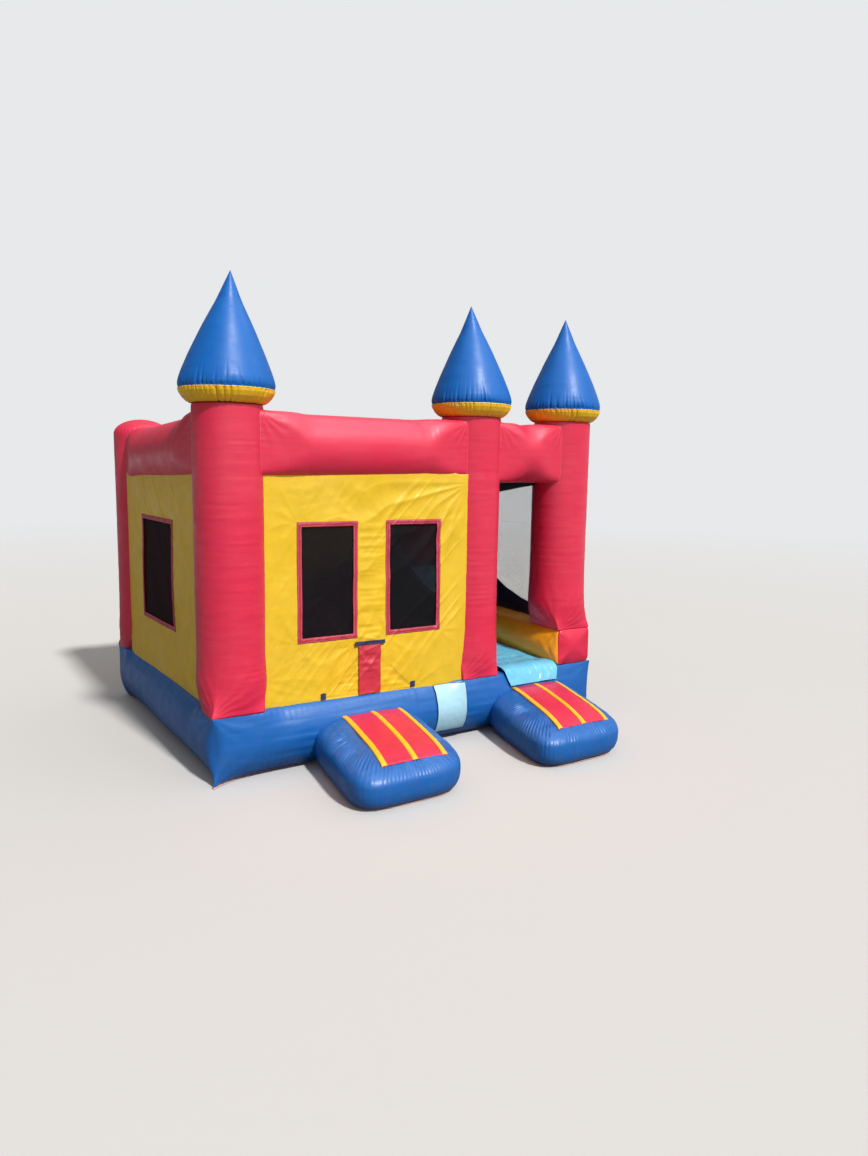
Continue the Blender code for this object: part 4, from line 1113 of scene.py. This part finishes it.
# ---------------------------------------------------------------- slide lane and climb
def pillow(
    name, nodes, y, across, foot, top, material, seed, soft_end=0.035, power=5.0, belly=0.0, pinched=()
):
    """A chamber run along Y with a soft, nearly square section from foot to top."""
    angle = turn_angles(140)
    left, right = (np.broadcast_to(side, len(y)) for side in across)
    rows = []
    for spot, height, half_x, middle_x in zip(y, top, (right - left) / 2, (left + right) / 2):
        from_end = min(spot - y[0], y[-1] - spot)
        ease = mix(0.93, 1.0, smooth(from_end / soft_end))
        half_z = (height - foot) / 2
        u, v = ring_offsets(angle, half_x * ease, half_z * ease, power)
        bulge = belly * (1 - math.exp(-from_end / 0.15)) * (1 - (v / half_z) ** 2)
        rows.append(spots(middle_x + u - np.where(u < 0, bulge, 0), spot, foot + half_z + v))
    points = np.array(rows)
    folds = 0.0045 * fan_folds(points, pinched, 0.10, 15, seed)
    uneven = 0.003 * noise(points, (0.3, 0.06, 0.3), seed)
    points = puff(points, folds - uneven - 0.004 * noise(points, 0.3, seed + 1))
    chamber(name, points, material, *nodes)


def slide():
    """The slide's bed, and the liner that lies in it and hangs down in front of the mattress."""
    low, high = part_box("slide_bed")
    y = np.linspace(low.y + 0.16, high.y, 200)
    top = smoothed(np.interp(y, *cad_outline_top("slide_bed")), 19)
    pillow("slide_bed_skin", ["slide_bed"], y, (low.x, high.x), low.z, top, blue_vinyl, 81)

    low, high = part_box("slide_liner")
    middle_x = (low.x + high.x) / 2
    reach = y[::4] - FRONT
    over_edge = 0.014 + 0.020 * np.exp(-reach / 0.16)
    bed_y, bed_z = np.array([y[::4], top[::4] + over_edge])[:, (reach > 0.24) & (reach < 2.6)]
    heights = np.linspace(low.z - 0.01, FLOOR_TOP - 0.035, 16)
    shares = np.linspace(0, 1, 260) ** 1.15
    lines = []
    for across in np.linspace(-1, 1, 90):
        x = middle_x + across * (high.x - low.x) / 2
        pull = 0.03 * abs(across) ** 3
        hanging_y = front_face(x, heights, 0.026)[:, 1]
        y = np.concatenate([hanging_y, FRONT + np.array([0.035 - pull, 0.09 - pull, 0.18]), bed_y])
        z = np.concatenate([heights, FLOOR_TOP + np.array([0.022, 0.046, 0.062]), bed_z])
        length = np.concatenate([[0], np.cumsum(np.hypot(np.diff(y), np.diff(z)))])
        at = shares * length[-1]
        y, z = (smoothed(np.interp(at, length, values), 15) for values in (y, z))
        drawn = 1 - 0.15 * np.clip((FLOOR_TOP - z) / 0.17, 0, 1)
        lines.append(spots(middle_x + (x - middle_x) * drawn, y, z))
    points = np.array(lines)
    flat = spots(points[..., 0], at)
    rumple = 0.004 * noise(flat, (0.35, 0.09), 82) + 0.0055 * noise(flat, (0.08, 0.3), 83)
    rumple += 0.007 * ridges(*flat.T, 62, 0.30, 0.05, 85).T
    rumple += 0.005 * ridges(*flat.T, -75, 0.22, 0.04, 87).T
    out = unit(np.gradient(points, axis=1)[..., [0, 2, 1]] * (0, -1, 1))
    points = points + out * rumple[..., None]
    cloth("slide_liner_sheet", points, sky_vinyl, "slide_liner")


def lane_sides():
    """The bolster, the corner block under the front right column, and the divider on its red curb."""
    low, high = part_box("slide_bolster")
    block_low, block_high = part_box("corner_block")
    y = np.linspace(block_low.y + 0.01, high.y, 150)
    top = np.interp(y, (block_low.y, high.y), (block_high.z, high.z))
    pinched = [(low.x, block_low.y + 0.01, z) for z in (block_high.z, low.z)]
    # The bolster's orange-brown yellow is painted shade.
    shape = (bolster_yellow_painted_shade, 91, 0.02, 12.0, 0.10, pinched)
    pillow("slide_bolster_skin", ["slide_bolster"], y, (low.x, high.x), low.z, top, *shape)
    y = np.linspace(block_low.y - 0.002, block_low.y + 0.60, 60)
    top = np.full(len(y), block_high.z + 0.004)
    behind_bolster = block_low.x + 0.04 * smooth((y - block_low.y - 0.012) / 0.02)
    shape = (red_vinyl, 93, 0.02, 10.0, 0.0, pinched)
    across = (behind_bolster, block_high.x + 0.004)
    pillow("corner_block_skin", ["corner_block"], y, across, block_low.z - 0.004, top, *shape)

    low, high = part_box("slide_divider")
    curb_height, sunk, inset = 0.38, 0.02, 0.03
    y = np.linspace(low.y, high.y, 130)
    curb = np.full(len(y), FLOOR_TOP + curb_height)
    pillow("slide_divider_curb", [], y, (low.x, high.x), low.z, curb, red_vinyl, 95, 0.03, 6.0)
    across, foot = (low.x + inset, high.x - inset), FLOOR_TOP + curb_height - sunk
    top = np.interp(y, *cad_outline_top("slide_divider"))
    # The divider wears the navy that paints the lane's shade onto blue vinyl.
    pillow("slide_divider_skin", ["slide_divider"], y, across, foot, top, navy_vinyl, 96, 0.03, 6.0)


def climb():
    """Four soft stairs, each its own chamber."""
    low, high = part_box("climb_stairs")
    count, gap = 4, 0.004
    run, rise = (high.x - low.x) / count, (high.z - low.z) / count
    y = np.linspace(low.y, high.y, 60)
    for i in range(count):
        top = np.full(len(y), low.z + (i + 1) * rise)
        across = (low.x + i * run + gap, low.x + (i + 1) * run - gap)
        nodes = ["climb_stairs"] if i == 0 else []
        pillow(f"climb_stair_{i + 1}", nodes, y, across, low.z, top, red_vinyl, 100 + i, 0.05, 7.0)


# ---------------------------------------------------------------- blower, tube, zip and anchors
def ring_about(axis, centre, radius, offset, angle):
    """Points of a circle about an axis ("X" or "Y") through centre, offset along it."""
    u, v = radius * np.cos(angle), radius * np.sin(angle)
    if axis == "X":
        return spots(centre[0] + offset, centre[1] + u, centre[2] + v)
    return spots(centre[0] + u, centre[1] + offset, centre[2] + v)


def sharpen(obj):
    """Keeps the edges of a moulded piece sharp in its smooth shading."""
    obj.data.set_sharp_from_angle(angle=math.radians(32))
    return obj


def lathe(name, axis, centre, profile, material, *nodes, body=HOUSE, around=96, caps=(False, False)):
    """A surface turned about an axis. The profile is (offset along the axis, radius)."""
    angle = turn_angles(around)
    rows = np.array([ring_about(axis, centre, radius, offset, angle) for offset, radius in profile])
    obj = sharpen(skin(name, rows, material, cap_first=caps[0], cap_last=caps[1]))
    return dress(obj, *nodes, body=body)


def block(name, low, high, material, *nodes, body=HOUSE, edge=0.004):
    """A box with rounded edges."""
    low, high = Vector(low), Vector(high)
    shape = Matrix.Translation((low + high) / 2) @ Matrix.Diagonal((*(high - low), 1))
    bm = bmesh.new()
    bmesh.ops.create_cube(bm, size=1)
    bmesh.ops.transform(bm, matrix=shape, verts=bm.verts)
    bmesh.ops.bevel(bm, geom=bm.edges[:], offset=edge, segments=3, profile=0.5, affect="EDGES")
    return dress(sharpen(object_from_bmesh(name, bm, material)), *nodes, body=body)


def blower():
    """A moulded drum blower: ribbed drum, nozzle, feet, handle, guarded intake, paddle wheel and motor."""
    hub = middle_of("blower_impeller")
    half, radius, intake, wall = 0.12, 0.198, 0.104, 0.006
    centre = Vector((BLOWER_X, hub.y, hub.z))
    shell, rib = radius - 0.002, radius + 0.002
    profile = [(half - 0.004, intake), (half, 0.108), (half, radius - 0.03)]
    profile += [(half - 0.010, radius - 0.010), (half - 0.022, shell)]
    ribs, first_rib, rib_pitch = 5, half - 0.030, 0.042
    for at in (first_rib - i * rib_pitch for i in range(ribs)):
        profile += [(at, shell), (at - 0.003, rib), (at - 0.009, rib), (at - 0.012, shell)]
    profile += [(0.022 - half, shell), (0.010 - half, radius - 0.010), (-half, radius - 0.03), (-half, 0.02)]
    profile += [(wall - half, 0.018), (wall - half, radius - 0.03), (half - 0.010, radius - 0.012)]
    profile += [(half - 0.010, intake), (half - 0.004, intake)]
    lathe("blower_drum", "X", centre, profile, orange_plastic, "blower_housing")
    nozzle = Vector((centre.x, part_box("blower_housing")[0].y, 0.22))
    mouth = [(0.30, 0.121), (0.05, 0.121), (0.045, 0.126), (0.002, 0.126), (0.002, 0.113), (0.30, 0.113)]
    lathe("blower_nozzle", "Y", nozzle, mouth, orange_plastic)
    ground = Vector((centre.x, centre.y, 0))
    low, high = ground + Vector((-0.11, -0.16, 0.022)), ground + Vector((0.11, 0.16, 0.095))
    block("blower_cradle", low, high, orange_plastic, edge=0.012)
    for name, x in (("left", -0.105), ("right", 0.105)):
        low, high = ground + Vector((x - 0.024, -0.19, 0)), ground + Vector((x + 0.024, 0.19, 0.034))
        block(f"blower_skid_{name}", low, high, dark_plastic, edge=0.010)
    turns = np.linspace(0, math.pi, 40)
    arch = centre.z + radius - 0.008 + 0.052 * np.sin(turns) ** 0.6
    handle = spots(centre.x, centre.y + 0.085 * np.cos(turns), arch)
    cord("blower_handle", handle, 0.011, dark_plastic, closed=False, sides=14)
    guard(centre)
    motor(centre - Vector((half, 0, 0)))
    case = Vector((centre.x - half, hub.y + 0.12, hub.z))
    for name, low, high, edge in (
        ("", (-0.030, -0.030, -0.040), (-0.018, 0.030, -0.014), 0.004),
        ("_top", (-0.030, -0.030, 0.014), (-0.018, 0.030, 0.040), 0.004),
        ("_back", (-0.019, -0.030, -0.040), (0.004, 0.030, 0.040), 0.004),
        ("_near", (-0.030, -0.030, -0.016), (-0.018, -0.018, 0.016), 0.002),
        ("_far", (-0.030, 0.018, -0.016), (-0.018, 0.030, 0.016), 0.002),
    ):
        low, high = case + Vector(low), case + Vector(high)
        block(f"blower_switch_case{name}", low, high, dark_plastic, edge=edge)
    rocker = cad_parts["blower_switch"]
    rocker.data.materials.clear()
    rocker.data.materials.append(red_plastic)
    rounded = rocker.modifiers.new("Edges", "BEVEL")
    rounded.width = 0.0016
    rounded.segments = 2
    rounded.limit_method = "ANGLE"
    rounded.angle_limit = math.radians(40)
    wheel(centre)


def guard(at):
    """Wire guard over the intake: rings and spokes about a hub."""
    low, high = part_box("blower_grille")
    at = ((low.x + high.x) / 2, at.y, at.z)
    angle = turn_angles(72)
    for number, radius in enumerate((0.112, 0.094, 0.076, 0.058, 0.040, 0.022)):
        ring = ring_about("X", at, radius, 0.0, angle)
        wire, nodes = (0.0020, ()) if number else (0.0036, ("blower_grille",))
        cord(f"blower_guard_ring_{number}", ring, wire, dark_plastic, *nodes, sides=8)
    spokes, reach = 6, np.linspace(0.016, 0.112, 8)
    for number in range(spokes):
        turn = math.pi / spokes + number * math.tau / spokes
        spoke = spots(at[0], at[1] + reach * math.cos(turn), at[2] + reach * math.sin(turn))
        cord(f"blower_guard_spoke_{number}", spoke, 0.0026, dark_plastic, closed=False, sides=8)
    button = [(-0.003, 0.020), (0.003, 0.020), (0.0035, 0.012)]
    lathe("blower_guard_hub", "X", at, button, dark_plastic, around=40, caps=(True, True))


def motor(at):
    """Finned motor can with an end cap, screws and a cable gland."""
    can, groove, end, screw_circle = 0.074, 0.066, -0.1205, 0.045
    profile = [(-0.001, can), (-0.012, can)]
    for x in (-0.014 - i * 0.012 for i in range(7)):
        profile += [(x, groove), (x - 0.005, groove), (x - 0.0055, can), (x - 0.0115, can)]
    profile += [(-0.108, can), (-0.118, groove), (end, 0.05), (end, 0.014)]
    lathe("blower_motor_can", "X", at, profile, steel, "blower_motor", caps=(False, True))
    head = [(0.001, 0.0042), (-0.002, 0.0042), (-0.0028, 0.003)]
    for number in range(5):
        turn = number * math.tau / 5
        y, z = at.y + screw_circle * math.cos(turn), at.z + screw_circle * math.sin(turn)
        spot = (at.x + end, y, z)
        lathe(f"blower_motor_screw_{number}", "X", spot, head, dark_plastic, around=16, caps=(True, True))
    spot = (at.x - 0.02, at.y, at.z - 0.082)
    gland = [(0.012, 0.010), (-0.012, 0.010)]
    lathe("blower_cable_gland", "X", spot, gland, dark_plastic, around=24, caps=(True, True))


def wheel(at):
    """The paddle wheel: back plate, hub and twelve slightly curved blades."""
    body = "blower_impeller"
    rim, blades, half, hub_x = 0.144, 12, 0.054, 0.0216
    plate = [(-half, 0.010), (-half, rim - 0.002), (-half + 0.002, rim), (-half + 0.004, rim - 0.002)]
    plate += [(-half + 0.004, 0.036), (hub_x, 0.030), (hub_x + 0.004, 0.026), (hub_x + 0.004, 0.008)]
    lathe("impeller_plate", "X", at, plate, dark_plastic, body, body=body, caps=(True, True))
    shaft = [(-0.20, 0.0075), (-0.198, 0.008), (0.038, 0.008), (0.040, 0.0075)]
    lathe("impeller_shaft", "X", at, shaft, steel, body=body, around=24, caps=(True, True))
    points, faces = [], []
    blade_root, sweep = 0.030, 0.22
    for turn in (number * math.tau / blades for number in range(blades)):
        start = len(points)
        for share, radius in zip(np.linspace(0, 1, 9), np.linspace(blade_root, rim - 0.004, 9)):
            angle = turn + sweep * share**2
            for x in (-half + 0.003, half - 0.004):
                points.append((at.x + x, at.y + radius * math.cos(angle), at.z + radius * math.sin(angle)))
        faces += [(a, a + 1, a + 3, a + 2) for a in range(start, start + 16, 2)]
    dress(solid(object_from("impeller_blades", points, faces, dark_plastic)), body=body)


def inflation_tube():
    """Fabric sleeve from the mattress to the blower, tied round the nozzle and loose in between."""
    low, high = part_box("inflation_tube")
    strap_low, strap_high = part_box("tube_strap")
    centre_x, centre_z = (low.x + high.x) / 2, (low.z + high.z) / 2
    radius = (high.x - low.x) / 2
    tie = (strap_low.y + strap_high.y) / 2
    angle = turn_angles(120)
    y = np.linspace(low.y - 0.03, high.y, 110)
    neck, squeeze = np.exp(-(((y - tie) / 0.045) ** 2)), 0.155
    size = radius * (1 - squeeze * neck) + 0.010 * np.sin((y - low.y) / (high.y - low.y) * math.pi)
    centres = spots(centre_x, y, centre_z)
    points = np.array([ring_about("Y", at, reach, 0.0, angle) for at, reach in zip(centres, size)])
    folds = gathers(angle, 34, 60) * (0.010 * np.exp(-np.abs(y - tie) / 0.10)[:, None])
    sag = 0.007 * noise(points, (0.12, 0.10, 0.12), 61) + 0.004 * noise(points, (0.3, 0.03, 0.3), 62)
    points = puff(points, sag * (1 - neck[:, None]) - folds)
    points[..., 2] = np.maximum(points[..., 2], 0.004)
    dress(solid(skin("inflation_tube_cloth", points, blue_vinyl), 0.002), "inflation_tube")
    reach = radius * (1 - squeeze) + 0.006
    profile = [(-0.013, reach), (-0.011, reach + 0.0025), (0.011, reach + 0.0025), (0.013, reach)]
    profile += [(0.011, reach - 0.002), (-0.011, reach - 0.002), (-0.013, reach)]
    lathe("tube_strap_webbing", "Y", (centre_x, tie, centre_z), profile, blue_webbing, "tube_strap")
    top = centre_z + reach
    low, high = (centre_x - 0.020, tie - 0.017, top - 0.001), (centre_x + 0.020, tie + 0.017, top + 0.008)
    block("tube_strap_buckle", low, high, steel, edge=0.003)


def deflation_zip():
    """Zip along the back: tape, interlocked teeth and a slider with a pull."""
    low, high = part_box("zip_tape")
    x, z = flat_grid((low.x, low.z), (high.x, high.z), (160, 9))
    y = (low.y + high.y) / 2 + 0.0012 * noise(spots(x, z), (0.05, 0.2), 65)
    cloth("zip_tape_cloth", spots(x, y, z), zip_tape, "zip_tape")
    middle = (low.z + high.z) / 2
    pitch, half = 0.006, 0.0022
    box_sides = ((0, 1, 3, 2), (4, 6, 7, 5), (0, 4, 5, 1), (2, 3, 7, 6), (0, 2, 6, 4), (1, 5, 7, 3))
    points, faces = [], []
    for number in range(int((high.x - low.x) / pitch)):
        at = low.x + 0.002 + number * pitch
        side = 0.0015 if number % 2 else -0.0015
        faces += [tuple(len(points) + k for k in quad) for quad in box_sides]
        for dx, dy, dz in itertools.product((-half * 0.55, half * 0.55), (0.0005, 0.0035), (-0.004, 0.004)):
            points.append((at + dx, high.y + dy - 0.001, middle + side + dz))
    dress(object_from("zip_teeth", points, faces, dark_plastic, False), slot="zip_nylon")
    slider_low, slider_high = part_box("zip_slider")
    body, x, y = "zip_slider", (slider_low.x + slider_high.x) / 2, slider_low.y
    low, high = (x - 0.009, y - 0.001, middle - 0.011), (x + 0.009, y + 0.004, middle + 0.013)
    block("zip_slider_body", low, high, steel, body, body=body, edge=0.0025)
    low, high = (x - 0.0045, y + 0.003, middle - 0.045), (x + 0.0045, y + 0.0055, middle + 0.004)
    block("zip_slider_pull", low, high, steel, body=body, edge=0.0012)


def anchors():
    """Webbing loops sewn to the back corners, each with a steel D-ring."""
    for which in BACK_COLUMNS:
        node = f"anchor_loop_{which}"
        low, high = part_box(node)
        x, half, wire, loop = (low.x + high.x) / 2, 0.022, 0.004, 0.0075
        pivot_y, pivot_z = low.y - 0.002 + 0.016, 0.20
        turns = np.linspace(math.radians(115), math.radians(-115), 30)
        wrap = spots(pivot_y + loop * np.cos(turns), pivot_z + loop * np.sin(turns))
        start = [(BACK + 0.004, high.z), (BACK + 0.006, pivot_z + 0.03)]
        line = np.concatenate([start, wrap, [(BACK + 0.004, low.z - 0.012)]])
        grid = spots(x + np.linspace(-0.019, 0.019, 9), line[:, :1], line[:, 1:])
        cloth(f"{node}_webbing", grid, blue_webbing, node, thickness=0.0022)
        low, high = (x - 0.045, BACK - 0.004, pivot_z - 0.05), (x + 0.045, BACK + 0.004, high.z + 0.03)
        block(f"anchor_pad_{which}", low, high, blue_vinyl, edge=0.003)
        turns = np.linspace(0, math.pi, 40)
        bow = spots(x + half * np.cos(turns), pivot_y, pivot_z - 0.045 * np.sin(turns))
        bar = spots(np.linspace(x - half, x + half, 12)[1:-1], pivot_y, pivot_z)
        body = f"anchor_ring_{which}"
        cord(f"{body}_wire", np.concatenate([bow, bar]), wire, steel, body, sides=12, body=body)


# ---------------------------------------------------------------- lights and camera
def aim(obj, direction):
    obj.rotation_euler = Vector(direction).to_track_quat("-Z", "Y").to_euler()


def softbox(name, spot, target, width, radiance, sheen=True):
    """A large square lamp that gives either a sheen on glossy surfaces or diffuse light, and never both."""
    panel = bpy.data.lights.new(name, "AREA")
    panel.shape = "SQUARE"
    panel.size = width
    panel.energy = radiance * math.pi * width**2
    panel.color = (0.78, 0.92, 1.0) if sheen else (1.0, 0.99, 0.97)
    lamp = link(bpy.data.objects.new(name, panel))
    lamp.location = spot
    aim(lamp, Vector(target) - Vector(spot))
    lamp.visible_camera = False
    lamp.visible_diffuse = not sheen
    lamp.visible_glossy = sheen
    lamp.visible_transmission = False
    return lamp


def pale_floor(backdrop):
    """A plane that fades into the backdrop. It looks paler to the camera than the light it gives back."""
    bpy.ops.mesh.primitive_plane_add(size=240, location=(0, 0, -0.002))
    floor = bpy.context.active_object
    floor.name = "studio_floor"
    pale = bpy.data.materials.new("studio_floor")
    pale.use_nodes = True
    tree = pale.node_tree
    shader = tree.nodes["Principled BSDF"]
    eye = add(tree, "ShaderNodeLightPath").outputs["Is Camera Ray"]
    tone = blend_colour(tree, eye, (0.20, 0.20, 0.205, 1), (0.60, 0.595, 0.59, 1))
    plug(tree, shader, {"Base Color": tone, "Roughness": 0.9, "Specular IOR Level": 0.1})
    position = add(tree, "ShaderNodeTexCoord").outputs["Object"]
    away = add(tree, "ShaderNodeVectorMath", {0: position}, operation="LENGTH").outputs["Value"]
    glow = add(tree, "ShaderNodeEmission", {"Color": backdrop})
    far = remap(tree, away, 9.0, 34.0, 0.0, 1.0)
    both = add(tree, "ShaderNodeMixShader", {0: far, 1: shader.outputs[0], 2: glow.outputs[0]})
    plug(tree, tree.nodes["Material Output"], {"Surface": both.outputs[0]})
    floor.data.materials.append(pale)
    return floor


def sky(backdrop):
    """Soft light, brighter from the front right. The camera sees the plain backdrop instead."""
    world = bpy.data.worlds.new("studio")
    bpy.context.scene.world = world
    world.use_nodes = True
    tree = world.node_tree
    seen = tree.nodes["Background"]
    plug(tree, seen, {"Color": backdrop})
    direction = add(tree, "ShaderNodeTexCoord").outputs["Generated"]
    side = add(tree, "ShaderNodeVectorMath", {0: direction, 1: (0.55, -0.55, 0.63)}, operation="DOT_PRODUCT")
    strength = remap(tree, side.outputs["Value"], -0.7, 1.0, 0.10, 0.66)
    lit = add(tree, "ShaderNodeBackground", {"Color": (1.0, 0.975, 0.95, 1), "Strength": strength})
    camera_ray = add(tree, "ShaderNodeLightPath").outputs["Is Camera Ray"]
    both = add(tree, "ShaderNodeMixShader", {0: camera_ray, 1: lit.outputs[0], 2: seen.outputs[0]})
    plug(tree, tree.nodes["World Output"], {"Surface": both.outputs[0]})


def studio():
    """Pale floor and soft sky, a hazy sun, two sheens on the glossy vinyl and a fill for the back."""
    backdrop = (0.80, 0.815, 0.83, 1)
    floor = pale_floor(backdrop)
    sky(backdrop)
    sun = bpy.data.lights.new("key", "SUN")
    sun.energy = 3.6
    sun.angle = math.radians(5)
    sun.color = (1.0, 0.98, 0.95)
    aim(link(bpy.data.objects.new("key", sun)), (-0.05, 0.68, -0.74))
    softbox("sheen_above", (1.0, -3.0, 10.0), (0, 0, 3.2), 12.0, 2.2)
    softbox("sheen_front", (-9.0, -12.5, 6.5), (0, 0, 2.2), 9.0, 0.45)
    fill = softbox("fill_back", (0.5, 15.0, 7.0), (0, 2.0, 1.8), 10.0, 1.0, sheen=False)
    unfilled = bpy.data.collections.new("unfilled")  # the fill lights everything but the floor
    unfilled.objects.link(floor)
    unfilled.collection_objects[0].light_linking.link_state = "EXCLUDE"
    fill.light_linking.receiver_collection = unfilled
    bpy.context.scene.view_settings.view_transform = "Standard"


def camera():
    """At a standing photographer's height, in front of the left corner."""
    yaw, pitch, roll = math.radians(33.25), math.radians(-7.78), math.radians(0.88)
    forward = Vector((math.sin(yaw) * math.cos(pitch), math.cos(yaw) * math.cos(pitch), math.sin(pitch)))
    level = Vector((math.cos(yaw), -math.sin(yaw), 0))
    up = level.cross(forward)
    right = level * math.cos(roll) + up * math.sin(roll)
    up = up * math.cos(roll) - level * math.sin(roll)
    lens = bpy.data.cameras.new("camera")
    lens.sensor_width = 36
    lens.lens = lens.sensor_width * 0.7084
    lens.clip_end = 300
    obj = link(bpy.data.objects.new("camera", lens))
    spot = Vector((LEFT - 2.222, FRONT - 6.956, 2.91))
    obj.matrix_world = Matrix.Translation(spot) @ Matrix((right, up, -forward)).transposed().to_4x4()
    bpy.context.scene.camera = obj


# ---------------------------------------------------------------- assembly
columns()
beams()
turrets()
mattress()
blank_patch()
jumping_floor()
steps()
walls()
right_side()
roof()
slide()
lane_sides()
climb()
blower()
inflation_tube()
deflation_zip()
anchors()
studio()
camera()
